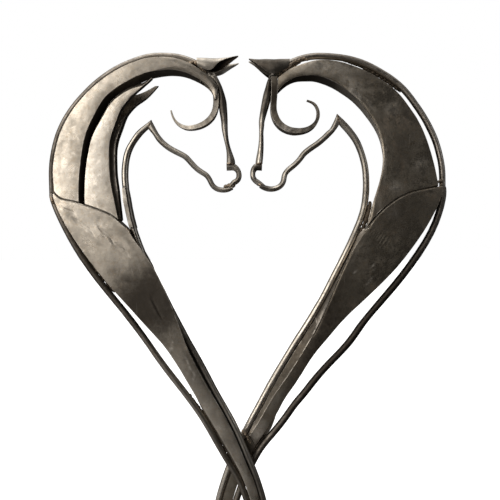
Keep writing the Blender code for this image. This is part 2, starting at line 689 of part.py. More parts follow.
def right_neck(seam):
    """The broad plate-sided neck, from the cheek curl round to the seam."""
    outer, inner = draw(RIGHT_NECK_OUTER), draw(RIGHT_NECK_INNER)
    root = draw(RIGHT_CURL)[0].x + RIGHT_CURL_WIDTH / 2 + WELD_GAP
    outer[0].x = root
    inner[0].x = root
    stations = even(5, 0.0, 0.2) + even(12, 0.27, 0.94)
    half_at = ((0.0, 0.018), (0.22, BODY_DEPTH / 2), (0.6, BODY_DEPTH / 2), (1.0, BODY_DEPTH / 2))
    outer_line, inner_line = along(outer, stations), along(inner, stations)
    back_line = beside(inner_line, [RIGHT_BACK_INSET * ease((s - 0.15) / 0.6) for s in stations])
    rings = []
    for a, b, c, s in zip(outer_line, inner_line, back_line, stations):
        half = profile(half_at, s)
        rings.append(body_ring(across(a, b, 7), across(a, c, 7), -half, half, [], []))
    end = along(seam, RIGHT_NECK_SHARES)
    narrow = end[:-1] + [end[-1].lerp(end[-2], RIGHT_BACK_INSET / (end[-1] - end[-2]).length)]
    for rise, half in ((SEAM_BEVEL + WELD_GAP, BODY_DEPTH / 2), (WELD_GAP, BODY_DEPTH / 2 - SEAM_BEVEL)):
        rings.append(body_ring(shifted(end, -rise), shifted(narrow, -rise), -half, half, [], []))
    loft("right_neck", "dark_plate", rings, body_caps(7, 0, 0))
    return outer_line, stations


def right_shoulder(seam):
    """The right shoulder, the stem lapped behind it and the throat bar beside both."""
    outer = draw(RIGHT_SHOULDER_OUTER + RIGHT_STEM_OUTER)
    inner = draw(RIGHT_SHOULDER_INNER + RIGHT_STEM_INNER)
    cut = (
        nearest_share(outer, draw(RIGHT_SHOULDER_OUTER)[-1]),
        nearest_share(inner, draw(RIGHT_SHOULDER_INNER)[-1]),
    )
    shares = (0.0, *RIGHT_NECK_SHARES, 1.0)
    rows = shoulder_rows(seam, shares, 1, outer, inner, even(15, 0.045, 1.0), cut)
    upper = [row for row in rows if square_height(row_height(row)) < LAP_TOP - 8]
    stem = []
    for row in upper:
        a, = along(outer, [nearest_share(outer, row[-1])])
        stem.append([a, row[-1]])
    for share in even(9, cut[1], 1.0)[1:]:
        b, = along(inner, [share])
        a, = along(outer, [mix(nearest_share(outer, b), 1.0, ease((share - 0.9) / 0.1))])
        stem.append([a, b])
    free = 9
    path = throat_line(draw(RIGHT_THROAT), rows + stem[len(upper):], free)
    reach = [THROAT_BAR_WIDTH / 2 + WELD_GAP] * len(path)
    bar_edge = grounded(beside(path, reach))[free:]
    shoulder("right_shoulder", "dark_plate", 1, rows, bar_edge, [lap_back(row_height(row)) for row in rows])
    first = len(rows) - len(upper)
    right_stem(stem, bar_edge[first:])
    throat_bar("right_throat_bar", 1, path, draw(RIGHT_JAW_CORNER))
    return [rows[0][0]] + [row[0] for row in rows[2:first]] + [row[0] for row in stem]


def right_stem(rows, bar_edge):
    """The plate behind the right shoulder that carries it past the left horse to the base."""
    rings = []
    for (a, b), edge in zip(rows, bar_edge):
        z = (a.y + b.y) / 2
        near, far = lap_back(z) + WELD_GAP, front_back(1, z)[1]
        lip = (far - near) / 6
        height = square_height(z)
        spread = profile(RIGHT_ROD_PROFILE, height) * profile(STEM_SPREAD, height)
        a = a + (a - b).normalized() * (RIGHT_ROD_STANDOFF * spread)
        rings.append([
            (a.x, near, a.y), (b.x, near, b.y), (edge.x, near + lip, edge.y),
            (edge.x, far - lip, edge.y), (b.x, far, b.y), (a.x, far, a.y),
        ])
    loft("right_stem", "dark_plate", rings)


def horse_rods(side, horse, crest, back_base, back_profile, standoff):
    """The crest rod and the back rod, which meet end to end at the withers."""
    shares = [profile(back_profile, square_height(p.y)) for p in back_base]
    outward = [horse * (ROD_RADIUS + WELD_GAP + standoff * share) for share in shares]
    back = beside(back_base, outward)
    if horse < 0:
        back[0] = back_base[0] + Vector((-CREST_RIDGE - WELD_GAP - ROD_RADIUS, 0))
    line = crest + back
    turned = sides(line)
    joint = len(crest)
    step = tangents(line)[joint] * (WELD_GAP / 2)
    upper = crest + [back[0] - step]
    lower = [back[0] + step] + back[1:]
    rod(f"{side}_crest_rod", upper, turned[:joint + 1], [0.0] * len(upper))
    rod(f"{side}_back_rod", lower, turned[joint:], [middle(horse, p.y) for p in lower])


def left_crest(outer_line):
    """Places along the left crest rod, which starts square to the cheek curl's root."""
    start, direction = curl_root()
    normal = Vector((-direction.y, direction.x))
    reach = CREST_RIDGE + WELD_GAP + ROD_RADIUS
    line = draw(LEFT_NECK_OUTER)
    foot, = along(line, [nearest_share(line, start)])
    first = start + normal * ((foot - start).dot(normal) + reach)
    rest = [p for p in beside(outer_line, [-reach] * len(outer_line)) if (p - first).dot(direction) < -0.008]
    return [first, first - direction * 0.004] + rest


def curl(name, points, root_width, depth, count, advance):
    """A forged curl that thins towards its tip, and its two edges."""
    direction = (points[1] - points[0]).normalized()
    shares = [0.0, 0.01] + even(count - 2, 0.05, 1.0)
    path = along(points, shares)
    path[0] = points[0] + direction * advance
    path[1] = path[0] + direction * 0.002
    widths = [mix(root_width, CURL_TIP_WIDTH, max(0.0, (s - 0.25) / 0.75) ** 2) for s in shares]
    far = [depth / 2 * mix(1.0, CURL_TIP_DEPTH_SHARE, ease((s - 0.5) / 0.5)) for s in shares]
    near = [-y for y in far]
    left = beside(path, [w / 2 for w in widths])
    right = beside(path, [-w / 2 for w in widths])
    bar(name, "blade" if advance else "dark_plate", left, right, near, far)
    return path, widths


def jaw_bar(name, horse, jaw, corner):
    """The jaw, from the throat's mitred corner to the chin; returns its upper edge with its gap."""
    count = 19
    path = along(jaw, even(count))
    widths = [mix(JAW_BAR_WIDTH, CHIN_BAR_WIDTH, ease(s)) for s in even(count)]
    widths[-1] *= CHIN_END_SHARE
    outside, inside = mitred(corner, path[0])
    ends = (outside, inside) if horse < 0 else (inside, outside)
    left = [ends[0]] + beside(path, [w / 2 for w in widths])
    right = [ends[1]] + beside(path, [-w / 2 for w in widths])
    half = JAW_BAR_DEPTH / 2
    forged_bar(name, left, right, [-half] * len(left), [half] * len(left))
    return beside(path, [-horse * (w / 2 + WELD_GAP) for w in widths])


def nose_bar(name, horse, nose, jaw_top):
    """From the nostril round the nose to the upper lip, which rests on the chin."""
    count = 9
    path = along(nose, even(count))
    widths = [mix(NOSTRIL_WIDTH, NOSE_BAR_WIDTH, ease((s - 0.2) / 0.3)) for s in even(count)]
    inner_lip = jaw_top[-1].lerp(jaw_top[-2], LIP_REACH)
    left = beside(path, [w / 2 for w in widths])
    right = beside(path, [-w / 2 for w in widths])
    left.append(jaw_top[-1] if horse < 0 else inner_lip)
    right.append(inner_lip if horse < 0 else jaw_top[-1])
    half = NOSE_BAR_DEPTH / 2
    forged_bar(name, left, right, [-half] * len(left), [half] * len(left))
    return max(p.y for p in left + right) + WELD_GAP


def face_bar(name, top_row, curl_edge, outer, inner, nose_top):
    """The ridged bar down the forehead, from the crest rod's end to the nose."""
    inner_edge = curl_edge + along(inner, even(8))
    outer_edge = along(outer, [nearest_share(outer, p) for p in inner_edge])
    outer_edge.append(Vector((outer[-1].x, nose_top)))
    inner_edge.append(Vector((inner[-1].x, nose_top)))
    outer_edge.insert(0, top_row[0])
    inner_edge.insert(0, top_row[1])
    far = [ROD_RADIUS] * 2 + [FACE_BAR_DEPTH / 2] * (len(inner_edge) - 2)
    forged_bar(name, outer_edge, inner_edge, [-y for y in far], far, FACE_BAR_CORNER)


def upper_part(edge, height):
    """The first places of an edge, down to a height in squares."""
    part = []
    for place in edge:
        if square_height(place.y) < height:
            break
        part.append(place)
    return part


def left_head(crest_start):
    direction = curl_root()[1]
    normal = Vector((-direction.y, direction.x))
    points = draw(LEFT_CURL)
    path, widths = curl("left_cheek_curl", points, LEFT_CURL_WIDTH, LEFT_CURL_DEPTH, 17, WELD_GAP)
    edge = beside(path, [w / 2 + WELD_GAP for w in widths])
    beside_curl = upper_part(edge, LEFT_CURL_LEAVES)
    jaw_top = jaw_bar("left_jaw_bar", -1, draw(LEFT_JAW), draw(LEFT_JAW_CORNER))
    nose_top = nose_bar("left_nose_bar", -1, draw(LEFT_NOSE), jaw_top)
    top_outer = crest_start + normal * ROD_RADIUS + direction * WELD_GAP
    top_row = (top_outer, beside_curl[0])
    outer, inner = draw(LEFT_FACE_OUTER), draw(LEFT_FACE_INNER)
    face_bar("left_face_bar", top_row, beside_curl[1:], outer, inner, nose_top)


def right_head(crest):
    points = draw(RIGHT_CURL)
    path, widths = curl("right_cheek_curl", points, RIGHT_CURL_WIDTH, RIGHT_CURL_DEPTH, 17, 0.0)
    edge = beside(path, [-w / 2 - WELD_GAP for w in widths])
    beside_curl = upper_part(edge, RIGHT_CURL_LEAVES)
    up = Vector((0, WELD_GAP))
    corner = path[0] + Vector((widths[0] / 2 + WELD_GAP, 0)) + up
    jaw_top = jaw_bar("right_jaw_bar", 1, draw(RIGHT_JAW), draw(RIGHT_JAW_CORNER))
    nose_top = nose_bar("right_nose_bar", 1, draw(RIGHT_NOSE), jaw_top)
    travel = (crest[1] - crest[0]).normalized()
    outward = Vector((-travel.y, travel.x)) * ROD_RADIUS
    end = crest[0] - travel * WELD_GAP
    along_curl = [corner, beside_curl[0] + up] + beside_curl[1:]
    face_bar("right_face_bar", (end + outward, end - outward), along_curl, draw(RIGHT_FACE_OUTER),
             draw(RIGHT_FACE_INNER), nose_top)


def ears(side, middle_line, outer_rim, spread):
    """Two hollow folded ears, one on each side of the crest rod."""
    path = along(draw(middle_line), even(EAR_RINGS))
    root, tip = path[0], path[-1]
    for facing, name in ((-1, "front"), (1, "back")):
        start = Vector((root.x, facing * (ROD_RADIUS + WELD_GAP + EAR_HALF_WIDTH), root.y))
        end = Vector((tip.x, facing * spread / 2, tip.y))
        axis = (end - start).normalized()
        out = Vector((0, facing, 0))
        up = axis.cross(out).normalized()
        if up.z < 0:
            up = -up
        out = (out - axis * out.dot(axis)).normalized()
        rings = []
        for share, place in zip(even(EAR_RINGS), path):
            centre = Vector((place.x, mix(start.y, end.y, ease((share - 0.25) / 0.75)), place.y))
            fullness = profile(EAR_PROFILE, share)
            thickness = min(EAR_SHEET, EAR_SHEET_MOST * EAR_HALF_WIDTH * fullness)
            rim = math.radians(profile(outer_rim, share))
            outside, inside = [], []
            for angle in even(9, math.radians(EAR_INNER_RIM), rim):
                for ring, sheet in ((outside, 0.0), (inside, thickness)):
                    high = EAR_HALF_HEIGHT * fullness - sheet
                    wide = EAR_HALF_WIDTH * fullness - sheet
                    ring.append(centre + up * (high * math.cos(angle)) + out * (wide * math.sin(angle)))
            rings.append(outside + list(reversed(inside)))
        loft(f"{side}_ear_{name}", "bar", rings, strip_caps(9), smooth=True)


def strip_caps(count):
    """End faces for a folded sheet, one between each pair of its outer and inner corners."""
    return [(i, i + 1, 2 * count - 2 - i, 2 * count - 1 - i) for i in range(count - 1)]


def base_plate():
    """A low plate with a chamfered top edge, under the middle of the two feet."""
    left_foot, right_foot = draw([RIGHT_THROAT[-1], LEFT_THROAT[-1]])
    centre = (left_foot.x + right_foot.x) / 2
    corners = ((-1, -1), (1, -1), (1, 1), (-1, 1))
    rings = []
    for z, inset in ((0.0, 0.0), (BASE_THICKNESS - BASE_CHAMFER, 0.0), (BASE_THICKNESS, BASE_CHAMFER)):
        half_length, half_depth = BASE_LENGTH / 2 - inset, BASE_DEPTH / 2 - inset
        rings.append([(centre + x * half_length, y * half_depth, z) for x, y in corners])
    loft("base_plate", "base", rings)


def centre_on_origin():
    """Slides the whole figure so that the origin is under the middle of its width."""
    reach = [v.co.x for item in bpy.data.objects if not item.hide_render for v in item.data.vertices]
    for item in bpy.data.objects:
        item.location.x = -(min(reach) + max(reach)) / 2


def main():
    for old in list(bpy.data.objects):
        bpy.data.objects.remove(old, do_unlink=True)
    left_seam, right_seam = draw(LEFT_SEAM), draw(RIGHT_SEAM)
    left_outer = left_neck(left_seam)
    left_base = left_shoulder(left_seam)
    crest = left_crest(left_outer)
    horse_rods("left", -1, crest, left_base, LEFT_ROD_PROFILE, LEFT_ROD_STANDOFF)
    left_head(crest[0])
    ears("left", LEFT_EAR, LEFT_EAR_RIM, LEFT_EAR_SPREAD)

    right_outer, stations = right_neck(right_seam)
    right_base = right_shoulder(right_seam)
    reach = [ROD_RADIUS + WELD_GAP + RIGHT_CREST_STANDOFF * profile(RIGHT_CREST_PROFILE, s) for s in stations]
    crest = beside(right_outer, reach)[1:]
    horse_rods("right", 1, crest, right_base, RIGHT_ROD_PROFILE, RIGHT_ROD_STANDOFF)
    right_head(crest)
    ears("right", RIGHT_EAR, RIGHT_EAR_RIM, RIGHT_EAR_SPREAD)
    base_plate()
    centre_on_origin()


main()
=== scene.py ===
"""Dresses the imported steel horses: forged surfaces, worn edges, welds, a pale studio and the camera."""

import itertools
import json
import math

import bmesh
import bpy
import numpy as np
from mathutils import Matrix, Vector
from mathutils.bvhtree import BVHTree


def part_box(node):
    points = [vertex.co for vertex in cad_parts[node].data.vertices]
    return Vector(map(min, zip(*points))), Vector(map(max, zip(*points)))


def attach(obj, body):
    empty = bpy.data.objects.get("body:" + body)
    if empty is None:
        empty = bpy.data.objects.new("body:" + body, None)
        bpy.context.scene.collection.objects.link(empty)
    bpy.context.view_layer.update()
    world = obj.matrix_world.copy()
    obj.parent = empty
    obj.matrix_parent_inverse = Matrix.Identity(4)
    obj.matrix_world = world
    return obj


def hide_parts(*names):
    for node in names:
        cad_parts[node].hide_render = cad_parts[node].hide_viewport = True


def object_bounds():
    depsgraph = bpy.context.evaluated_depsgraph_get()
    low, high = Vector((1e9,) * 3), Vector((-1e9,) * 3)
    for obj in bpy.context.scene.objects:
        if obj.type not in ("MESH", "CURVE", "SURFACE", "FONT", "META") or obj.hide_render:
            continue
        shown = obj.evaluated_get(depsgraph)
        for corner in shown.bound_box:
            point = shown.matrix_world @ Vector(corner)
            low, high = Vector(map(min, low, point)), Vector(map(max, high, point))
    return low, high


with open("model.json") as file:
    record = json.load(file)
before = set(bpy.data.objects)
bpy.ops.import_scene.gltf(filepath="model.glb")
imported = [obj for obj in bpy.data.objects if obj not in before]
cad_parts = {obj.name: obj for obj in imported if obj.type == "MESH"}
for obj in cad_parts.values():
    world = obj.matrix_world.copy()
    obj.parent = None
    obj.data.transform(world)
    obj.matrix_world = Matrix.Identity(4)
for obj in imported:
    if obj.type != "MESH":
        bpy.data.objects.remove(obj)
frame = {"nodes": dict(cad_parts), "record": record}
CAD_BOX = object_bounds()

bl_info = {
    "name": "Forged Steel Horses",
    "version": (1, 0, 0),
    "blender": (4, 5, 0),
    "location": "3D View > Sidebar > Horses",
    "description": "Forged surfaces, worn edges, welds and a studio for the steel horses",
    "category": "Object",
}

BODY = "root"
NODES = frame["nodes"]
SLOT_OF = {part["node"]: part["material_slot"] for part in frame["record"]["subparts"]}
BASE_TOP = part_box("base_plate")[1].z

# The places of marks and welds are drawn on squares, with x from the middle of the heart, where the
# camera stands, and z from the top of the base.
SQUARE = 0.0025
CAMERA_ACROSS = 0.0070

# The solids' triangles that lie this flat, and make a face this little skewed, are joined
FLAT_WITHIN = math.radians(28)
SKEWED_WITHIN = math.radians(70)

# Rounds of the smoothing, and the farthest a corner moves in one of them
SMOOTHING_ROUNDS = 4
MOST_MOVED = 0.002

# Half the depth of the bodies, how far their plates' middles stand proud, and how much of that is kept
HALF_DEPTH = 0.028
CROWN = 0.0025
CROWN_LEFT = 0.35

# How dark the painted shade on walls is, and how pale the painted light on the right plates' walls that face
# left
WALL_SHADE = 0.9
WALL_LIGHT = 0.7

# The small waves' height and length by the large ones', and the bulge beside a fold by its depth
SMALL_WAVES = 0.3
SMALL_WAVE_LENGTH = 1 / 3.3
BULGE_SHARE = 0.6

# In squares: the widths of a fold and of the bulge beside it, how far off that runs, and the widths of
# turned rims and of the bright lines on scratches and the rims' painted highlights
FOLD_WIDTH = 1.1
BULGE_WIDTH = 1.3
BULGE_AWAY = 1.9
RIM_WIDTH = 1.6
STROKE_WIDTH = 0.95

# Slices of an ear whose middles are found, and the fewest corners in one
EAR_SLICES = 24
SLICE_CORNERS = 8

# How far large faces outweigh small ones in the shading, where 50 is not at all
LARGE_WEIGHT = 60

# Weld lumps: the fewest between two places, their spacing by their radius, how far they stray, the cells
# to a metre that set how, their mean size and its spread, the rounds of easing, the height and length of
# the ripples in weld grains, their seed, and how dark the painted shade on beads in grooves is
LUMPS_LEAST = 4
LUMP_SPACING = 0.6
LUMP_STRAY = 0.0007
LUMP_CELLS = 2000
LUMP_SIZE = 0.92
LUMP_SPREAD = 0.2
WELD_EASING = 7
RIPPLE_HEIGHT = 0.5
RIPPLE_LENGTH = 5
RIPPLE_SEED = 3
GROOVE_SHADE = 0.8

# Colours made from others, by share of red, green and blue
PALER = (1.25, 1.25, 1.25)
STAINED = (0.85, 0.72, 0.56)
FLECKED = (0.85, 0.74, 0.56)

# The floor disc, how far it lies below the steel, where the lights look, and each light's name, place,
# width and height, setting of its power, and colour
FLOOR_RADIUS = 40.0
FLOOR_SIDES = 96
FLOOR_BELOW = 0.0005
LIT_PLACE = (0.0, 0.0, 0.75)
LIGHTS = (
    ("left_softbox", (-2.4, -2.2, 1.7), (2.2, 2.6), "key_power", (1.0, 0.95, 0.88)),
    ("top_softbox", (-0.6, -0.3, 3.2), (2.4, 1.6), "top_power", (1.0, 0.98, 0.95)),
    ("right_softbox", (2.6, -1.4, 1.5), (0.6, 2.0), "side_power", (0.9, 0.95, 1.0)),
)


class ForgingSettings(bpy.types.PropertyGroup):
    """Sizes of the smith's marks on the steel"""

    edge_round: bpy.props.FloatProperty(
        name="Edge round", description="Width of the rounded edges",
        default=0.0013, min=0.0002, max=0.004, unit="LENGTH", precision=4)
    wave_height: bpy.props.FloatProperty(
        name="Waviness", description="How far the sheet wanders from its true form",
        default=0.0007, min=0.0, max=0.003, unit="LENGTH", precision=4)
    wave_length: bpy.props.FloatProperty(
        name="Wave length", description="Distance between the waves of the sheet",
        default=0.085, min=0.02, max=0.4, unit="LENGTH")
    facet_depth: bpy.props.FloatProperty(
        name="Hammer depth", description="Depth of the hammer's facets",
        default=0.00035, min=0.0, max=0.002, unit="LENGTH", precision=5)
    facet_size: bpy.props.FloatProperty(
        name="Hammer size", description="Distance between the hammer's facets",
        default=0.017, min=0.005, max=0.08, unit="LENGTH")
    crease_depth: bpy.props.FloatProperty(
        name="Crease depth", description="Depth of the folds in the shoulders",
        default=0.0011, min=0.0, max=0.004, unit="LENGTH", precision=4)
    rim_drop: bpy.props.FloatProperty(
        name="Rim drop", description="How far the right plates' rims fall back",
        default=0.0045, min=0.0, max=0.008, unit="LENGTH", precision=4)
    weld_grain: bpy.props.FloatProperty(
        name="Weld grain", description="Size of the welds' smallest lumps",
        default=0.0009, min=0.0005, max=0.003, unit="LENGTH", precision=4)
    # How far the dark scale and the painted contact shade reach from where pieces meet
    grime_reach: bpy.props.FloatProperty(
        name="Scale and shade reach", description="How far dark scale spreads from where pieces meet",
        default=0.0075, min=0.001, max=0.05, unit="LENGTH", precision=4)


class FinishSettings(bpy.types.PropertyGroup):
    """Colours of the bare, dark and rusty steel, and of the painted light and shade on it"""

    # The left plates' colour is painted lit: it carries the light that falls on them from the left
    blade: bpy.props.FloatVectorProperty(
        name="Left plates", description="Colour of the bright left plates", subtype="COLOR",
        default=(0.57, 0.515, 0.44), min=0.0, max=1.0)
    # The right plates' colour is painted shaded: it carries the shade of plates turned from the light
    dark_plate: bpy.props.FloatVectorProperty(
        name="Right plates", description="Colour of the dark right plates", subtype="COLOR",
        default=(0.33, 0.29, 0.235), min=0.0, max=1.0)
    rod: bpy.props.FloatVectorProperty(
        name="Rods", description="Colour of the round rods", subtype="COLOR",
        default=(0.36, 0.325, 0.285), min=0.0, max=1.0)
    bar: bpy.props.FloatVectorProperty(
        name="Bars", description="Colour of the forged bars", subtype="COLOR",
        default=(0.52, 0.48, 0.42), min=0.0, max=1.0)
    weld: bpy.props.FloatVectorProperty(
        name="Welds", description="Colour of the brown weld metal", subtype="COLOR",
        default=(0.36, 0.29, 0.22), min=0.0, max=1.0)
    base: bpy.props.FloatVectorProperty(
        name="Base", description="Colour of the oiled base plate", subtype="COLOR",
        default=(0.15, 0.13, 0.11), min=0.0, max=1.0)
    # Also the colour of painted light: pale clouds, lit walls and rim highlights
    bright: bpy.props.FloatVectorProperty(
        name="Rubbed steel", description="Colour of edges rubbed bright", subtype="COLOR",
        default=(0.82, 0.76, 0.68), min=0.0, max=1.0)
    # Also the colour of painted shade: dark clouds, contacts, hollows and shaded walls
    scale: bpy.props.FloatVectorProperty(
        name="Fire scale", description="Colour of the dark scale in corners", subtype="COLOR",
        default=(0.035, 0.028, 0.022), min=0.0, max=1.0)
    rust: bpy.props.FloatVectorProperty(
        name="Rust", description="Colour of the thin brown rust", subtype="COLOR",
        default=(0.17, 0.09, 0.045), min=0.0, max=1.0)


class StageSettings(bpy.types.PropertyGroup):
    """The studio and the camera"""

    floor: bpy.props.FloatVectorProperty(
        name="Floor", description="Colour of the floor", subtype="COLOR",
        default=(0.93, 0.93, 0.92), min=0.0, max=1.0)
    camera_distance: bpy.props.FloatProperty(
        name="Camera distance", description="From the camera to the middle of the horses",
        default=1.34, min=0.5, max=6.0, unit="LENGTH")
    camera_height: bpy.props.FloatProperty(
        name="Camera height", description="Height of the level camera above the floor",
        default=0.7873, min=0.0, max=3.0, unit="LENGTH")
    camera_angle: bpy.props.FloatProperty(
        name="Camera angle", description="How wide the camera sees", subtype="ANGLE",
        default=math.radians(50), min=0.1, max=2.0)
    key_power: bpy.props.FloatProperty(
        name="Left light", description="Power of the broad light at the left", unit="POWER",
        default=30.0, min=0.0, max=1000.0)
    top_power: bpy.props.FloatProperty(
        name="Top light", description="Power of the light overhead", unit="POWER",
        default=20.0, min=0.0, max=1000.0)
    side_power: bpy.props.FloatProperty(
        name="Right light", description="Power of the weak light at the right", unit="POWER",
        default=5.0, min=0.0, max=1000.0)


def noise_lumps(points, size, seed):
    """Smooth noise from -1 to 1 at each point, with lumps of about the given size."""
    cell = points / size
    low = np.floor(cell).astype(np.int64)
    part = cell - low
    part = part ** 3 * (part * (part * 6 - 15) + 10)
    total = np.zeros(len(points))
    for corner in itertools.product((0, 1), repeat=3):
        weight = np.prod(np.where(corner, part, 1 - part), axis=1)
        total += weight * scatter(low + np.array(corner), seed)
    return total


def scatter(cells, seed):
    """A fixed number from -1 to 1 for each cell of a lattice."""
    mixed = cells[:, 0] * 73856093 ^ cells[:, 1] * 19349663 ^ cells[:, 2] * 83492791 ^ (seed + 1) * 39916801
    mixed = (mixed ^ (mixed >> 13)) * 1274126177 & 0x7FFFFFFF
    mixed = (mixed ^ (mixed >> 15)) * 668265263 & 0x7FFFFFFF
    return ((mixed >> 7) & 0xFFFF) / 32767.5 - 1


def hammer_facets(points, size, seed):
    """0 on the ridges between a hammer's facets to 1 in their middles."""
    cell = points / size
    low = np.floor(cell).astype(np.int64)
    nearest = np.full(len(points), 9.0)
    for step in itertools.product((-1, 0, 1), repeat=3):
        at = low + np.array(step)
        spot = at + 0.5 + 0.42 * np.stack([scatter(at, seed + k) for k in range(3)], axis=1)
        nearest = np.minimum(nearest, np.sum((cell - spot) ** 2, axis=1))
    return np.clip(1 - nearest / 0.6, 0, 1)


def read_points(mesh, what="co"):
    values = np.zeros(len(mesh.vertices) * 3)
    mesh.vertices.foreach_get(what, values)
    return values.reshape(-1, 3)


def write_points(mesh, points):
    mesh.vertices.foreach_set("co", points.astype(np.float32).ravel())
    mesh.update()


def write_mask(mesh, name, values):
    mask = mesh.attributes.new(name, "FLOAT", "POINT")
    mask.data.foreach_set("value", values.astype(np.float32))


def new_piece(name, mesh):
    piece = bpy.data.objects.new(name, mesh)
    bpy.context.scene.collection.objects.link(piece)
    return piece


def settle(piece):
    """Applies the piece's modifiers to its mesh."""
    bpy.context.view_layer.update()
    evaluated = piece.evaluated_get(bpy.context.evaluated_depsgraph_get())
    finished = bpy.data.meshes.new_from_object(evaluated)
    piece.modifiers.clear()
    piece.data = finished


def rough_copy(node, sharp_angle):
    """The node's solid with its flat faces rejoined and its sharp edges creased."""
    shape = bmesh.new()
    shape.from_mesh(NODES[node].data)
    bmesh.ops.remove_doubles(shape, verts=shape.verts, dist=0.00001)
    bmesh.ops.join_triangles(
        shape, faces=shape.faces, angle_face_threshold=FLAT_WITHIN, angle_shape_threshold=SKEWED_WITHIN)
    crease = shape.edges.layers.float.new("crease_edge")
    for edge in shape.edges:
        if edge.calc_face_angle(math.pi) > sharp_angle:
            edge[crease] = 1.0
    mesh = bpy.data.meshes.new(node + "_steel")
    shape.to_mesh(mesh)
    shape.free()
    return new_piece(node + "_steel", mesh)


def smoothed(piece, level):
    """Smooths the piece, first moving its corners out so that the smooth surface runs through them."""
    mesh = piece.data
    true = read_points(mesh)
    moved = true.copy()
    smooth = piece.modifiers.new("smooth", "SUBSURF")
    smooth.levels = 1
    smooth.use_limit_surface = True
    for _ in range(SMOOTHING_ROUNDS):
        piece.update_tag()
        bpy.context.view_layer.update()
        drawn = piece.evaluated_get(bpy.context.evaluated_depsgraph_get()).data
        moved += np.clip(true - read_points(drawn)[:len(true)], -MOST_MOVED, MOST_MOVED)
        write_points(mesh, moved)
    smooth.levels = level
    smooth.render_levels = level


def on_squares(points):
    return (points[:, 0] - CAMERA_ACROSS) / SQUARE, (points[:, 2] - BASE_TOP) / SQUARE


def soft_spots(points, spots):
    """How strongly patches, as (x, z, length, width, turn, strength) in squares, cover each point."""
    cover = np.zeros(len(points))
    x, z = on_squares(points)
    for at_x, at_z, length, width, turn, strength in spots:
        c, s = math.cos(math.radians(turn)), math.sin(math.radians(turn))
        along = ((x - at_x) * c + (z - at_z) * s) / length
        across = ((z - at_z) * c - (x - at_x) * s) / width
        cover = np.maximum(cover, strength * np.exp(-(along ** 2 + across ** 2)))
    return cover


def from_lines(points, lines):
    """The signed distance in squares from each point to the nearest stroke of some lines."""
    x, z = on_squares(points)
    found = np.full(len(points), np.inf)
    for line in lines:
        for (x0, z0), (x1, z1) in zip(line, line[1:]):
            run_x, run_z = x1 - x0, z1 - z0
            length = math.hypot(run_x, run_z)
            t = np.clip(((x - x0) * run_x + (z - z0) * run_z) / length ** 2, 0, 1)
            away_x, away_z = x - x0 - t * run_x, z - z0 - t * run_z
            away = np.hypot(away_x, away_z)
            side = np.where(away_x * run_z - away_z * run_x > 0, 1.0, -1.0)
            found = np.where(away < np.abs(found), away * side, found)
    return found


def ridge(distance, width):
    """1 at no distance, falling softly to 0 over a few widths."""
    return np.exp(-(distance / width) ** 2)


def edge_mask(mesh, angle):
    """1 at corners on an edge that turns by more than the angle, and 0 elsewhere."""
    shape = bmesh.new()
    shape.from_mesh(mesh)
    mask = np.zeros(len(shape.verts))
    for edge in shape.edges:
        if edge.calc_face_angle(0.0) > angle:
            for vert in edge.verts:
                mask[vert.index] = 1.0
    shape.free()
    return mask


def nearness(points, node, reach):
    """1 where another piece of steel touches, falling to 0 at the reach."""
    near = np.zeros(len(points))
    low, high = points.min(axis=0) - reach, points.max(axis=0) + reach
    for other, solid in NODES.items():
        box_low, box_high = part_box(other)
        if other == node or any(box_low[k] > high[k] or box_high[k] < low[k] for k in range(3)):
            continue
        tree = BVHTree.FromPolygons(
            [v.co for v in solid.data.vertices], [p.vertices for p in solid.data.polygons])
        inside = np.all((points > np.array(box_low) - reach) & (points < np.array(box_high) + reach), axis=1)
        for index in np.nonzero(inside)[0]:
            distance = tree.find_nearest(points[index], reach)[3]
            if distance is not None:
                near[index] = max(near[index], 1 - distance / reach)
    return near


def flattened(points):
    """The same places with the crown of the front and back plates pressed nearly flat."""
    depth = np.abs(points[:, 1])
    rim = HALF_DEPTH - CROWN
    pressed = HALF_DEPTH - (HALF_DEPTH - depth) * CROWN_LEFT
    inner = depth * (HALF_DEPTH - CROWN * CROWN_LEFT) / rim
    points[:, 1] = np.sign(points[:, 1]) * np.where(depth > rim, pressed, inner)
    return points


def painted_wall_shade(node, normals):
    """Painted shade on the walls of the two leaves, and on other plates' walls that face right or down, away
    from the light.
    """
    wall = np.clip((0.72 - np.abs(normals[:, 1])) * 4, 0, 1)
    if "leaf" in node:
        return WALL_SHADE * wall
    return WALL_SHADE * wall * np.clip((normals[:, 0] - normals[:, 2] + 0.1) * 2, 0, 1)


def painted_wall_light(node, normals):
    """Painted light on the walls of the right horse's plates where they face left, towards the light."""
    if not node.startswith("right"):
        return np.zeros(len(normals))
    wall = np.clip((0.8 - np.abs(normals[:, 1])) * 4, 0, 1)
    return WALL_LIGHT * wall * np.clip(-2 * normals[:, 0], 0, 1)


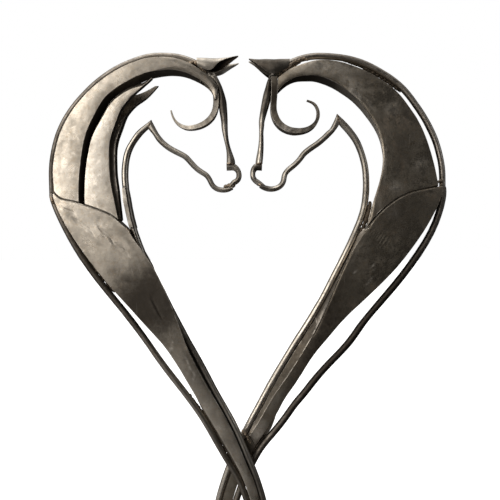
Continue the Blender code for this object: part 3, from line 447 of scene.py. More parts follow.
def forge(node, material, smooth_level=3, sharp=38, waves=1.0, facets=1.0, rounding=1.0, plate=False,
          swell=0.0):
    """Turns a node's plain solid into hand-forged steel and puts it in the node's place."""
    forging = bpy.context.scene.horse_forging
    seed = sum(ord(letter) for letter in node)
    piece = rough_copy(node, math.radians(sharp))
    smoothed(piece, smooth_level)
    rounded = piece.modifiers.new("rounded edges", "BEVEL")
    rounded.width = forging.edge_round * rounding
    rounded.segments = 2
    rounded.limit_method = "ANGLE"
    rounded.angle_limit = math.radians(sharp)
    rounded.use_clamp_overlap = True
    settle(piece)
    mesh = piece.data
    worn = edge_mask(mesh, math.radians(sharp / 3))
    points, normals = read_points(mesh), read_points(mesh, "normal")
    faces_front = np.clip(-normals[:, 1] * 2 - 0.6, 0, 1)
    height, length = waves * forging.wave_height, forging.wave_length
    move = swell + height * noise_lumps(points, length, seed)
    move += SMALL_WAVES * height * noise_lumps(points, length * SMALL_WAVE_LENGTH, seed + 5)
    move -= facets * forging.facet_depth * hammer_facets(points, forging.facet_size, seed + 9)
    crease = from_lines(points, CREASES.get(node, ()))
    move -= forging.crease_depth * faces_front * ridge(crease, FOLD_WIDTH)
    move += BULGE_SHARE * forging.crease_depth * faces_front * ridge(crease - BULGE_AWAY, BULGE_WIDTH)
    rims = RIMS.get(node, ())
    move -= forging.rim_drop * faces_front * ridge(from_lines(points, rims), RIM_WIDTH)
    # The rims join the scratches as bright lines: painted highlights
    strokes = from_lines(points, STROKES.get(node, ()) + rims)
    marks = {
        "worn_edge": worn,
        # Dark scale with painted contact shade near other pieces
        "crevice": nearness(points, node, forging.grime_reach),
        # Placed dark clouds: fire scale and painted shade
        "smoke": soft_spots(points, SMOKE_AND_SHADE.get(node, ())),
        # Placed pale clouds: rubbed steel and painted light
        "bloom": soft_spots(points, BLOOM_AND_LIGHT.get(node, ())) * faces_front,
        # Scratches, and painted highlights along the rims
        "stroke": ridge(strokes, STROKE_WIDTH) * faces_front,
        # Painted shade inside the ears
        "hollow": ear_inside_shade(points, normals) if "_ear_" in node else np.zeros(len(points)),
    }
    if plate:
        # Painted shade on walls that face away from the light
        marks["hollow"] = painted_wall_shade(node, normals)
        # Painted light on the right plates' walls that face the light at the left
        marks["bloom"] = np.maximum(marks["bloom"], painted_wall_light(node, normals))
        points = flattened(points)
    points = points + normals * move[:, None]
    points[:, 2] = np.maximum(points[:, 2], CAD_BOX[0].z)
    write_points(mesh, points)
    for name, values in marks.items():
        write_mask(mesh, name, values)
    finish_piece(piece, material)
    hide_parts(node)


def ear_inside_shade(points, normals):
    """1 on the inner side of an ear's folded sheet, which looks towards the middle of its own ring and is
    painted in shade.
    """
    order = np.argsort(points[:, 0])
    width = max(len(points) // EAR_SLICES, SLICE_CORNERS)
    middle = np.zeros_like(points)
    for start in range(0, len(points), width):
        ring = order[start:start + width]
        low, high = points[ring].min(axis=0), points[ring].max(axis=0)
        middle[ring] = (low + high) / 2
    inward = middle - points
    inward[:, 0] = 0
    facing = np.sum(inward * normals, axis=1) / np.maximum(np.linalg.norm(inward, axis=1), 1e-6)
    return np.clip(facing * 3, 0, 1)


def finish_piece(piece, material):
    """Smooth shading, the material and the ride on the one body."""
    piece.data.materials.clear()
    piece.data.materials.append(material)
    piece.data.shade_smooth()
    even = piece.modifiers.new("even shading", "WEIGHTED_NORMAL")
    even.weight = LARGE_WEIGHT
    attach(piece, BODY)


# Dark clouds and pale clouds on the plates, partly fire scale and rubbed steel and partly painted shade
# and painted light, as (x, z, length, width, turn in degrees, strength)
SMOKE_AND_SHADE = {
    "left_shoulder": (
        (-98, 260, 52, 70, -58, 1.0), (-45, 200, 40, 22, -60, 0.7),
        (-176, 344, 9, 5, -60, 0.45), (-150, 318, 12, 3.5, -35, 0.45), (-134, 322, 9, 4, -45, 0.35),
        (2, 95, 26, 10, -70, 0.35), (-22, 150, 18, 7, -60, 0.5), (-118, 318, 20, 5, -55, 0.5),
    ),
    "left_outer_neck_blade": (
        (-186, 405, 26, 4, 85, 0.35), (-120, 484, 20, 4, 20, 0.25), (-184, 377, 9, 8, 0, 0.3),
        (-160, 446, 24, 12, 55, 0.22), (-96, 490, 34, 9, 5, 0.3),
        (-60, 487, 12, 3, 8, 0.35),
    ),
    "left_inner_neck_leaf_front": ((-150, 404, 16, 6, 80, 0.25), (-140, 372, 14, 10, 0, 0.22)),
    "right_neck": (
        (150, 405, 34, 14, 70, 0.5), (60, 474, 34, 4, 5, 0.35), (160, 440, 22, 8, -50, 0.4),
        (128, 372, 18, 8, 80, 0.4), (172, 392, 16, 8, 80, 0.35),
    ),
    "right_shoulder": ((60, 240, 90, 40, 60, 0.8), (150, 345, 40, 24, 50, 0.55), (8, 140, 20, 9, 62, 0.5)),
    "left_face_bar": ((-25, 462, 12, 34, 0, 1.0), (-21, 425, 3.5, 26, 0, 0.9), (-17, 398, 3, 9, 0, 0.7)),
    "right_face_bar": ((19, 474, 10, 26, 0, 0.95), (15, 450, 5, 24, 0, 0.9), (13, 415, 2.5, 24, 0, 0.9)),
    "left_nose_bar": ((-20, 396, 9, 4, 0, 0.8), (-12, 384, 2.5, 9, 0, 0.6)),
    "right_nose_bar": ((9, 391, 9, 5, 0, 1.0), (5, 382, 2.5, 7, 0, 0.6)),
    "right_jaw_bar": ((14, 372, 10, 4, 0, 0.8), (30, 378, 5, 8, 0, 0.5)),
    "left_ear_front": ((-42, 490, 18, 14, 0, 0.4), (-20, 490, 16, 14, 0, 0.15)),
    "left_ear_back": ((-32, 490, 30, 14, 0, 0.3),),
    "right_ear_front": ((15, 492, 34, 16, 0, 0.9),),
    "right_ear_back": ((15, 492, 34, 16, 0, 0.8),),
    "right_cheek_curl": ((24, 463, 9, 17, 0, 1.0), (24, 450, 6, 6, 0, 0.8)),
    "left_crest_rod": ((-199, 390, 12, 60, 0, 0.75), (-170, 460, 25, 25, 0, 0.4)),
    "left_back_rod": ((-150, 300, 90, 130, 0, 0.7), (-20, 90, 40, 120, 0, 0.5)),
    "right_back_rod": ((100, 230, 160, 200, 0, 1.0),),
    "left_throat_bar": ((-60, 210, 60, 90, 0, 0.7), (0, 70, 40, 60, 0, 0.5)),
    "right_throat_bar": ((104, 372, 30, 60, 0, 0.5),),
}
BLOOM_AND_LIGHT = {
    "left_shoulder": (
        (-160, 338, 26, 15, -40, 0.55), (-128, 300, 22, 13, -50, 0.5), (-144, 285, 34, 3, -54, 0.3),
        (-43, 156, 9, 6, -60, 0.5), (-30, 137, 8, 6, -60, 0.45), (-12, 112, 16, 5, -66, 0.4),
        (2, 84, 12, 6, -72, 0.5), (8, 60, 14, 5, -78, 0.4),
    ),
    "left_outer_neck_blade": (
        (-150, 466, 34, 5, 45, 0.35), (-90, 491, 30, 4, 5, 0.4), (-186, 425, 20, 5, 70, 0.5),
        (-182, 392, 22, 10, 85, 0.5),
    ),
    "left_inner_neck_leaf_front": ((-146, 432, 30, 10, 68, 1.0), (-152, 388, 44, 16, 85, 1.0)),
    "right_neck": (
        (103, 463, 11, 4.5, -45, 0.9), (139, 448, 11, 8, 20, 0.5), (142, 372, 8, 7, 0, 0.5),
        (168, 394, 11, 9, 0, 0.45), (126, 360, 5, 14, 0, 0.4),
        (76, 489, 44, 10, -3, 0.55), (100, 474, 22, 9, -35, 0.5), (132, 395, 26, 2.5, 88, 0.5),
        (118, 452, 16, 3, -48, 0.5),
    ),
    "right_shoulder": (
        (141, 346, 12, 9, 0, 0.3), (114, 312, 7, 14, -25, 0.3), (122, 298, 6, 6, 0, 0.25),
        (100, 292, 8, 6, 0, 0.25), (60, 230, 30, 12, 60, 0.22),
        (9, 130, 12, 8, 62, 0.95), (26, 160, 18, 5, 60, 0.45), (104, 306, 26, 2.5, 62, 0.4),
    ),
    "left_face_bar": ((-26, 425, 2.5, 22, 0, 0.5),),
    "right_throat_bar": (
        (86, 290, 9, 60, -20, 0.35), (30, 190, 9, 120, -28, 0.95), (-30, 60, 9, 60, -15, 0.5),
    ),
    "right_cheek_curl": ((40, 429, 24, 8, 0, 0.75), (64, 445, 6, 14, 0, 0.5)),
    "right_crest_rod": ((150, 450, 90, 90, 0, 0.4),),
    "left_cheek_curl": ((-36, 445, 5, 12, 0, 0.6), (-55, 433, 16, 4, 0, 0.4)),
}

# Rims of the right plates that the hammer turned back, also painted with bright lines as highlights, as lines
# of (x, z)
NECK_RIM = (
    (66, 479), (78.3, 476.1), (88.8, 469.8), (99.4, 460.3), (109.9, 450.8), (118.3, 439.2),
    (124.5, 426.6), (127.8, 414.1), (128.8, 401.5), (127.1, 386.7), (123.6, 372), (119.4, 359.3),
    (117.2, 344.7), (112.4, 332),
)
SHOULDER_RIM = (
    (116, 334), (111.8, 331.2), (101.8, 316.3), (93.1, 298.8), (84.4, 278.9), (77, 261.4), (62, 228),
)
RIMS = {"right_neck": (NECK_RIM,), "right_shoulder": (SHOULDER_RIM,)}

# Scratches that show bright, and folds in the sheet, as lines of (x, z)
STROKES = {
    "left_shoulder": (
        ((-75.6, 219.4), (-76.6, 213.8), (-81.3, 210.5)),
        ((-63, 204.7), (-58.7, 193.9), (-54.2, 188.5), (-55.8, 183.4)), ((-58.7, 193.9), (-61.6, 190)),
    ),
    "right_shoulder": (
        ((118.7, 282), (115.8, 277.3)), ((119.6, 296.7), (121, 291)), ((102.8, 289.4), (104.6, 287.6)),
    ),
}
CREASES = {
    "left_shoulder": (
        ((-171.3, 339.3), (-154.7, 327.7)), ((-146.9, 330.6), (-135.6, 321)),
        ((-181, 349), (-172.5, 346)), ((-134.6, 316.6), (-121.4, 307.8)), ((-96, 262), (-88, 246)),
        ((-60, 214), (-52, 202)),
    ),
    "right_shoulder": (((120, 330), (134, 318)), ((70, 246), (80, 236))),
}


class Graph:
    """Adds nodes to a shader tree and joins them."""

    def __init__(self, tree):
        self.tree = tree

    def add(self, kind, inputs=(), **settings):
        node = self.tree.nodes.new(kind)
        for name, value in settings.items():
            setattr(node, name, value)
        for socket, value in dict(inputs).items():
            if isinstance(value, bpy.types.NodeSocket):
                self.tree.links.new(value, node.inputs[socket])
            else:
                node.inputs[socket].default_value = value
        return node

    def math(self, operation, a, b=0.0, c=0.0):
        return self.add("ShaderNodeMath", {0: a, 1: b, 2: c}, operation=operation).outputs[0]

    def times(self, a, b):
        return self.math("MULTIPLY", a, b)

    def mask(self, name):
        return self.add("ShaderNodeAttribute", attribute_name=name).outputs["Fac"]

    def spread(self, value, low, high, to_low=0.0, to_high=1.0):
        node = self.add(
            "ShaderNodeMapRange",
            {"Value": value, "From Min": low, "From Max": high, "To Min": to_low, "To Max": to_high})
        node.clamp = True
        node.interpolation_type = "SMOOTHSTEP"
        return node.outputs["Result"]

    def blend(self, share, a, b):
        return self.add("ShaderNodeMix", {0: share, 2: a, 3: b}, data_type="FLOAT").outputs[0]

    def tint(self, share, a, b):
        return self.add("ShaderNodeMix", {0: share, 6: a, 7: b}, data_type="RGBA").outputs[2]

    def noise(self, vector, scale, detail=4.0, roughness=0.55, distortion=0.0):
        node = self.add(
            "ShaderNodeTexNoise",
            {"Vector": vector, "Scale": scale, "Detail": detail, "Roughness": roughness,
             "Distortion": distortion})
        return node.outputs["Fac"]

    def stretch(self, vector, scale, turn=0.0):
        node = self.add("ShaderNodeMapping", {"Vector": vector, "Scale": scale, "Rotation": (0.0, turn, 0.0)})
        return node.outputs["Vector"]


def effect_group(name, inputs, outputs, build):
    """A shader node group with named sockets, made once."""
    if name in bpy.data.node_groups:
        return bpy.data.node_groups[name]
    tree = bpy.data.node_groups.new(name, "ShaderNodeTree")
    for label, kind, value in inputs:
        socket = tree.interface.new_socket(label, in_out="INPUT", socket_type=kind)
        if value is not None:
            socket.default_value = value
    for label, kind in outputs:
        tree.interface.new_socket(label, in_out="OUTPUT", socket_type=kind)
    entry = tree.nodes.new("NodeGroupInput")
    leave = tree.nodes.new("NodeGroupOutput")
    for label, value in build(Graph(tree), entry.outputs).items():
        tree.links.new(value, leave.inputs[label])
    return tree


FLOAT = "NodeSocketFloat"
PLACE = ("Vector", "NodeSocketVector", None)
AMOUNT = ("Amount", FLOAT, 1.0)
MASK = (("Mask", FLOAT),)


def fire_scale_group():
    """Cloudy patches of scale left by the fire, broad and fine, with finer specks."""
    def build(graph, given):
        place = given["Vector"]

        def finer(times, **settings):
            return graph.noise(place, graph.times(given["Scale"], times), **settings)

        broad = graph.noise(place, given["Scale"], detail=5.0, roughness=0.62, distortion=0.6)
        fine = finer(6.0, detail=5.0, roughness=0.7, distortion=0.2)
        patches = graph.blend(0.5, broad, fine)
        specks = finer(42.0, detail=2.0, roughness=0.5)
        stains = finer(13.0, detail=5.0, roughness=0.6, distortion=1.2)
        return {
            "Patches": graph.spread(patches, 0.41, 0.61),
            "Clouds": graph.spread(broad, 0.32, 0.68),
            "Specks": graph.spread(specks, 0.60, 0.74),
            "Stains": graph.spread(stains, 0.50, 0.66),
        }
    return effect_group(
        "Fire scale", (PLACE, ("Scale", FLOAT, 9.0)),
        (("Patches", FLOAT), ("Clouds", FLOAT), ("Specks", FLOAT), ("Stains", FLOAT)), build)


def worn_edge_group():
    """Edges rubbed bright, broken up by noise."""
    def build(graph, given):
        edge = graph.mask("worn_edge")
        tight = graph.math("POWER", edge, given["Tightness"])
        broken = graph.spread(graph.noise(given["Vector"], 70.0, roughness=0.65), 0.34, 0.60, 0.25, 1.0)
        shown = graph.times(graph.times(tight, broken), given["Amount"])
        return {"Mask": graph.math("MINIMUM", shown, 1.0)}
    return effect_group("Worn edges", (PLACE, AMOUNT, ("Tightness", FLOAT, 2.0)), MASK, build)


def scale_and_shade_group():
    """Dark scale and wax, with painted contact shade, where pieces meet."""
    def build(graph, given):
        near = graph.mask("crevice")
        rough = graph.noise(given["Vector"], 55.0, detail=5.0, roughness=0.65)
        wide = graph.math("ADD", near, graph.times(graph.math("SUBTRACT", rough, 0.5), 0.8))
        return {"Mask": graph.times(graph.spread(wide, 0.35, 0.95), given["Amount"])}
    return effect_group("Crevice scale", (PLACE, AMOUNT), MASK, build)


def scratch_group():
    """A few fine scratches that follow long bent lines."""
    def build(graph, given):
        bend = graph.add("ShaderNodeTexNoise", {"Vector": given["Vector"], "Scale": 9.0, "Detail": 1.0})
        bent = graph.add(
            "ShaderNodeVectorMath", {0: bend.outputs["Color"], 1: (0.06, 0.0, 0.06), 2: given["Vector"]},
            operation="MULTIPLY_ADD").outputs["Vector"]
        marks = []
        for turn, across, along, low in ((0.62, 300.0, 9.0, 0.70), (-0.85, 260.0, 7.0, 0.71)):
            drawn = graph.stretch(bent, (across, 20.0, along), turn)
            lines = graph.noise(drawn, 1.0, detail=1.0, roughness=0.4)
            marks.append(graph.spread(lines, low, low + 0.06))
        both = graph.math("MAXIMUM", marks[0], marks[1])
        where = graph.spread(graph.noise(given["Vector"], 14.0, detail=3.0, roughness=0.6), 0.50, 0.68)
        return {"Mask": graph.times(graph.times(both, where), given["Amount"])}
    return effect_group("Fine scratches", (PLACE, AMOUNT), MASK, build)


def patina_group():
    """Dark and pale clouds with ragged borders, partly patina and partly painted shade and painted light,
    bright strokes with painted rim highlights, and the painted shade of hollows.
    """
    def build(graph, given):
        wide = graph.noise(given["Vector"], 24.0, detail=6.0, roughness=0.7, distortion=0.4)
        ragged = graph.math("SUBTRACT", wide, 0.5)
        fine = graph.math("SUBTRACT", graph.noise(given["Vector"], 120.0, roughness=0.65), 0.5)
        torn = graph.math("ADD", graph.times(ragged, 0.55), graph.times(fine, 0.4))
        masks = {}
        for label, name in (("Smoke", "smoke"), ("Bloom", "bloom")):
            placed = graph.mask(name)
            swayed = graph.math("MULTIPLY_ADD", torn, graph.spread(placed, 0.0, 0.35, 0.0, 0.9), placed)
            masks[label] = graph.spread(swayed, 0.06, 0.95)
        stroke = graph.mask("stroke")
        broken = graph.spread(fine, -0.12, 0.06, 0.15, 0.8)
        masks["Strokes"] = graph.times(stroke, broken)
        masks["Hollow"] = graph.mask("hollow")
        return masks
    return effect_group(
        "Placed patina", (PLACE,),
        (("Smoke", FLOAT), ("Bloom", FLOAT), ("Strokes", FLOAT), ("Hollow", FLOAT)), build)


def rust_group():
    """Thin brown rust in loose blooms."""
    def build(graph, given):
        blooms = graph.noise(given["Vector"], 11.0, detail=6.0, roughness=0.68, distortion=0.8)
        grains = graph.noise(given["Vector"], 260.0, detail=3.0, roughness=0.6)
        shown = graph.times(graph.spread(blooms, 0.50, 0.72), graph.spread(grains, 0.30, 0.60))
        return {"Mask": graph.times(shown, given["Amount"])}
    return effect_group("Rust bloom", (PLACE, AMOUNT), MASK, build)


def forged_skin_group():
    """Height of a hammered and fire-pitted skin."""
    def build(graph, given):
        dents = graph.add(
            "ShaderNodeTexVoronoi", {"Vector": given["Vector"], "Scale": 95.0, "Smoothness": 0.8},
            feature="SMOOTH_F1").outputs["Distance"]
        rough = graph.noise(given["Vector"], 180.0, detail=6.0, roughness=0.7)
        pits = graph.spread(graph.noise(given["Vector"], 420.0, detail=2.0, roughness=0.5), 0.60, 0.72)
        grain = graph.times(rough, given["Grain"])
        height = graph.math("MULTIPLY_ADD", dents, given["Hammer"], grain)
        return {"Height": graph.math("SUBTRACT", height, graph.times(pits, given["Pits"]))}
    return effect_group(
        "Forged skin", (PLACE, ("Hammer", FLOAT, 0.5), ("Grain", FLOAT, 0.5), ("Pits", FLOAT, 0.3)),
        (("Height", FLOAT),), build)


def toned(colour, shares):
    """A colour times a share of each of its parts, with an alpha of 1."""
    return (*[min(1.0, part * share) for part, share in zip(colour, shares)], 1.0)


def steel(name, colour, shade=0.45, roughness=0.36, wear=0.8, scratches=0.5, rust=0.3, crevices=0.9,
          hammer=0.5, grain=0.5, pits=0.3, scale=9.0, bump=0.0004):
    """Bare forged steel with darker patches, rust, scale in corners, scratches and rubbed edges, and with
    painted shade and painted light: contact shade, dark and pale clouds, hollows and rim highlights.
    """
    if name in bpy.data.materials:
        return bpy.data.materials[name]
    finish = bpy.context.scene.horse_finish
    material = bpy.data.materials.new(name)
    material.use_nodes = True
    tree = material.node_tree
    shader = tree.nodes["Principled BSDF"]
    graph = Graph(tree)
    place = graph.add("ShaderNodeTexCoord").outputs["Object"]

    def use(group, **inputs):
        node = graph.add("ShaderNodeGroup", node_tree=group)
        tree.links.new(place, node.inputs["Vector"])
        for label, value in inputs.items():
            node.inputs[label].default_value = value
        return node.outputs

    fire = use(fire_scale_group(), Scale=scale)
    edges = use(worn_edge_group(), Amount=wear, Tightness=2.0)["Mask"]
    corner_scale_and_shade = use(scale_and_shade_group(), Amount=crevices)["Mask"]
    lines = use(scratch_group(), Amount=scratches)["Mask"]
    rusty = use(rust_group(), Amount=rust)["Mask"]
    skin = use(forged_skin_group(), Hammer=hammer, Grain=grain, Pits=pits)["Height"]
    placed = use(patina_group())

    dark = toned(colour, (shade, shade, shade))
    black, bright = (*finish.scale, 1.0), (*finish.bright, 1.0)
    flecks = graph.times(fire["Specks"], graph.spread(placed["Bloom"], 0.02, 0.35, 0.0, 0.8))
    mixed = graph.tint(fire["Patches"], dark, (*colour, 1.0))
    for mask, shade_over in (
        (graph.times(fire["Clouds"], 0.55), toned(colour, PALER)),
        (graph.times(fire["Specks"], 0.12), dark),
        # Pale clouds: rubbed steel and painted light
        (graph.times(placed["Bloom"], 0.8), bright),
        (flecks, toned(finish.bright, FLECKED)),
        (graph.times(fire["Stains"], 0.4), toned(colour, STAINED)),
        (rusty, (*finish.rust, 1.0)),
        # Dark clouds: fire scale and painted shade
        (graph.times(placed["Smoke"], 0.9), black),
        # Dark scale and painted contact shade where pieces meet
        (corner_scale_and_shade, black),
        # Painted shade in the ears, on walls turned from the light and on welds in grooves
        (placed["Hollow"], black),
        # Bright scratches, and painted highlights along the rims
        (graph.math("MAXIMUM", lines, placed["Strokes"]), bright),
        (edges, bright),
    ):
        mixed = graph.tint(mask, mixed, shade_over)
    tree.links.new(mixed, shader.inputs["Base Color"])

    gloss = graph.spread(fire["Patches"], 0.0, 1.0, roughness + 0.14, roughness - 0.04)
    gloss = graph.blend(rusty, gloss, 0.75)
    gloss = graph.blend(graph.times(placed["Smoke"], 0.8), gloss, 0.55)
    gloss = graph.blend(graph.math("MAXIMUM", corner_scale_and_shade, placed["Hollow"]), gloss, 0.65)
    gloss = graph.blend(edges, gloss, 0.26)
    tree.links.new(gloss, shader.inputs["Roughness"])
    bare = graph.math("SUBTRACT", 1.0, graph.times(rusty, 0.75))
    tree.links.new(bare, shader.inputs["Metallic"])
    raised = graph.add("ShaderNodeBump", {"Height": skin, "Strength": 1.0, "Distance": bump})
    tree.links.new(raised.outputs["Normal"], shader.inputs["Normal"])
    return material


# How the steel of each slot, and of the welds, is finished
FINISHES = {
    # Lit copy of the plate steel, with painted light
    "blade": dict(
        name="Left plate steel", shade=0.62, roughness=0.30, scratches=0.25, rust=0.08,
        crevices=0.7, hammer=0.35, grain=0.25, pits=0.05,
    ),
    # Shaded copy of the plate steel, with painted shade
    "dark_plate": dict(
        name="Right plate steel", shade=0.55, roughness=0.34, wear=0.85, scratches=0.3,
        rust=0.35, crevices=0.8, hammer=0.4, grain=0.35, pits=0.08,
    ),
    "rod": dict(
        name="Rod steel", shade=0.6, roughness=0.32, wear=0.3, scratches=0.15, rust=0.15,
        crevices=0.3, hammer=0.25, grain=0.12, pits=0.05, bump=0.0003,
    ),
    "bar": dict(
        name="Bar steel", shade=0.62, roughness=0.30, wear=0.6, scratches=0.15, rust=0.1,
        crevices=0.2, hammer=0.15, grain=0.1, pits=0.03, bump=0.0003,
    ),
    "base": dict(
        name="Base steel", shade=0.55, roughness=0.45, wear=0.9, rust=0.35, hammer=0.15,
        scale=7.0,
    ),
    "weld": dict(
        name="Weld steel", wear=0.0, scratches=0.0, rust=0.5, crevices=0.0, hammer=0.2,
        grain=0.6, scale=30.0,
    ),
}


def finished_steel(use):
    """The steel for one use, a slot of the record or the welds."""
    return steel(colour=getattr(bpy.context.scene.horse_finish, use), **FINISHES[use])


def forge_all(nodes, **settings):
    for node in nodes:
        forge(node, finished_steel(SLOT_OF[node]), **settings)


class HORSES_OT_necks(bpy.types.Operator):
    """Forge the blade, the leaves and the broad plate of the necks"""

    bl_idname = "horses.necks"
    bl_label = "Necks"

    def execute(self, context):
        forge_all(
            ("left_outer_neck_blade", "left_inner_neck_leaf_front", "left_inner_neck_leaf_back"),
            facets=0.5, plate=True)
        forge_all(("right_neck",), facets=0.5, plate=True, rounding=2.0)
        return {"FINISHED"}


class HORSES_OT_shoulders(bpy.types.Operator):
    """Forge the shoulders and the stem that carries the right one"""

    bl_idname = "horses.shoulders"
    bl_label = "Shoulders"

    def execute(self, context):
        forge_all(("left_shoulder",), facets=0.7, plate=True)
        forge_all(("right_shoulder",), facets=0.7, plate=True, rounding=2.0)
        forge_all(("right_stem",))
        return {"FINISHED"}


class HORSES_OT_rods(bpy.types.Operator):
    """Forge the round rods along the crests and the backs"""

    bl_idname = "horses.rods"
    bl_label = "Rods"

    def execute(self, context):
        forge_all(
            ("left_crest_rod", "left_back_rod", "right_crest_rod"),
            smooth_level=2, sharp=60, waves=0.5, facets=0.5)
        forge_all(("right_back_rod",), smooth_level=2, sharp=60, waves=0.5, facets=0.5, swell=0.0009)
        return {"FINISHED"}


class HORSES_OT_throats(bpy.types.Operator):
    """Forge the throat bars and the short ribs beside the left one"""

    bl_idname = "horses.throats"
    bl_label = "Throat bars"

    def execute(self, context):
        forge_all(("left_throat_bar", "right_throat_bar"), sharp=60, facets=0.5)
        forge_all(("left_throat_rib_front", "left_throat_rib_back"))
        return {"FINISHED"}


class HORSES_OT_heads(bpy.types.Operator):
    """Forge the cheek curls, foreheads, noses and jaws"""

    bl_idname = "horses.heads"
    bl_label = "Heads"

    def execute(self, context):
        forge_all(("left_cheek_curl", "right_cheek_curl"), waves=0.5)
        bars = [f"{side}_{part}_bar" for side in ("left", "right") for part in ("face", "nose", "jaw")]
        forge_all(bars, sharp=60, waves=0.5, facets=0.4)
        return {"FINISHED"}


class HORSES_OT_ears(bpy.types.Operator):
    """Forge the folded ears"""

    bl_idname = "horses.ears"
    bl_label = "Ears"

    def execute(self, context):
        ears = [f"{side}_ear_{place}" for side in ("left", "right") for place in ("front", "back")]
        forge_all(ears, sharp=60, waves=0.5, facets=0.5, rounding=0.5)
        return {"FINISHED"}


class HORSES_OT_base(bpy.types.Operator):
    """Forge the low base plate"""

    bl_idname = "horses.base"
    bl_label = "Base plate"

    def execute(self, context):
        forge_all(("base_plate",), waves=0.0, facets=0.2)
        return {"FINISHED"}


# Lumps of weld metal, as lines of (x, z in squares, y in millimetres, radius in millimetres)
WELDS = {
    "left_poll_front": (
        (-60, 495.5, -10, 4.5), (-56, 496, -12, 5.5), (-52, 495, -13, 6.0), (-49, 491.5, -14, 5.5),
        (-46, 488, -14, 4.5), (-43.5, 485, -13, 3.5),
    ),
    "left_poll_back": ((-58, 495.5, 11, 5.0), (-52, 494.5, 13, 6.0), (-47, 490, 14, 4.5)),
    "left_curl_root": ((-47.5, 484, -11, 3.2), (-44.5, 481.5, -12, 3.4), (-42.5, 479, -12, 2.8)),
    "right_poll_front": (
        (57, 499.5, -7, 3.6), (53.5, 500.5, -8, 3.8), (50, 499.5, -9, 3.6), (46, 497.5, -10, 4.0),
        (41.5, 495, -12, 4.5), (37.5, 491.5, -14, 4.5), (33.5, 488, -14, 3.8), (29.5, 485, -14, 3.0),
    ),
    "right_poll_back": ((50, 499, 9, 3.6), (43, 495.5, 12, 4.6), (36, 490, 14, 4.2), (30, 485.5, 14, 3.2)),
    "left_withers": ((-198.5, 363, -4, 4.0), (-197, 359.5, -7, 4.4), (-195.5, 356, -9, 3.4)),
    "right_withers": (
        (186, 377, -11, 3.4), (189.5, 379, -8, 4.2), (191.5, 376.5, -5, 4.0), (188.5, 373.5, -10, 3.4),
    ),
    "left_lip": (
        (-25, 372.8, -4, 4.6), (-21.5, 374, -4, 6.0), (-18.2, 374.4, -3, 6.2), (-16.2, 375, 0, 5.6),
        (-18.2, 374.4, 4, 6.0), (-23, 373.4, 5, 5.0),
    ),
    "right_lip": (
        (12.6, 374.6, -4, 4.6), (10, 375.6, -4, 5.4), (8.2, 376, 0, 5.4), (10, 375.6, 4, 5.2),
        (12, 374.8, 5, 4.4),
    ),
    "left_groove": (
        (-166, 307, 2, 4.4), (-156.4, 294.6, 2, 5.4), (-148, 283.6, 2, 5.2), (-140.4, 273.6, 2, 4.6),
        (-135, 268, 2, 3.8),
    ),
    "left_low_groove": (
        (-59, 167, -12, 2.4), (-52.5, 156, -12, 3.8), (-43.5, 145, -13, 4.2), (-37.4, 136.5, -13, 4.2),
        (-27, 119, -13, 4.2), (-17.3, 102, -13, 4.0), (-9.6, 87, -13, 3.6), (-5, 76, -13, 3.0),
    ),
    "right_groove": ((1, 102, 13, 3.6), (7, 112, 13, 4.0), (13.5, 121.5, 13, 3.8), (19.6, 124, 13, 3.2)),
    "right_throat_groove": (
        (119.8, 357, -4, 5.2), (118.4, 350, -6, 6.4), (115.8, 341, -8, 6.2), (112, 332, -10, 5.0),
        (108.4, 325, -10, 3.4),
    ),
    "right_crest_groove": (
        (86, 501.8, 2, 2.8), (97, 499.2, 2, 4.0), (111.4, 494.2, 2, 4.6), (131, 483.2, 2, 4.6),
        (144.6, 473.6, 2, 4.2), (151, 468, 2, 3.0),
    ),
    "left_nose_joint": ((-22.6, 396, -8, 2.6), (-19.4, 396, -10, 3.0), (-16, 395.6, -8, 2.6)),
    "right_nose_joint": ((6.6, 395.6, -8, 2.6), (9.4, 396, -10, 3.0), (11.8, 396, -8, 2.6)),
    "left_jaw_corner": ((-99, 437.5, -7, 2.8), (-100.2, 434.5, -8, 3.0), (-101, 431.8, -7, 2.6)),
    "right_jaw_corner": ((87.4, 443.5, -7, 2.8), (88.2, 440, -8, 3.0), (89.2, 437, -7, 2.6)),
    "rib_foot": ((-121.6, 331.5, -24, 2.6), (-119.4, 329, -25, 3.0), (-117.6, 326.8, -25, 2.4)),
    "crossing": (
        (-7.5, 131, -10, 3.4), (-4.8, 128, -12, 3.8), (-2.2, 123.5, -12, 3.2), (0.5, 118.5, -11, 2.8),
    ),
    "left_foot_front": (
        (10.5, 0.6, -25, 4.0), (14, 0.8, -27, 4.4), (19.5, 0.6, -26, 4.2), (22.5, 0.8, -20, 4.0),
    ),
    "left_foot_back": ((8.8, 0.6, -22, 4.0), (8.4, 0.8, -12, 4.2), (9, 0.6, -3, 3.6)),
    "right_foot_front": ((-41, 0.6, 3, 3.8), (-36, 0.8, -1, 4.2), (-30, 0.6, -1, 4.0), (-25.5, 0.8, 3, 4.0)),
    "right_foot_back": ((-41, 0.6, 22, 4.0), (-36, 0.8, 26, 4.4), (-29, 0.6, 27, 4.2), (-25, 0.8, 22, 4.0)),
}


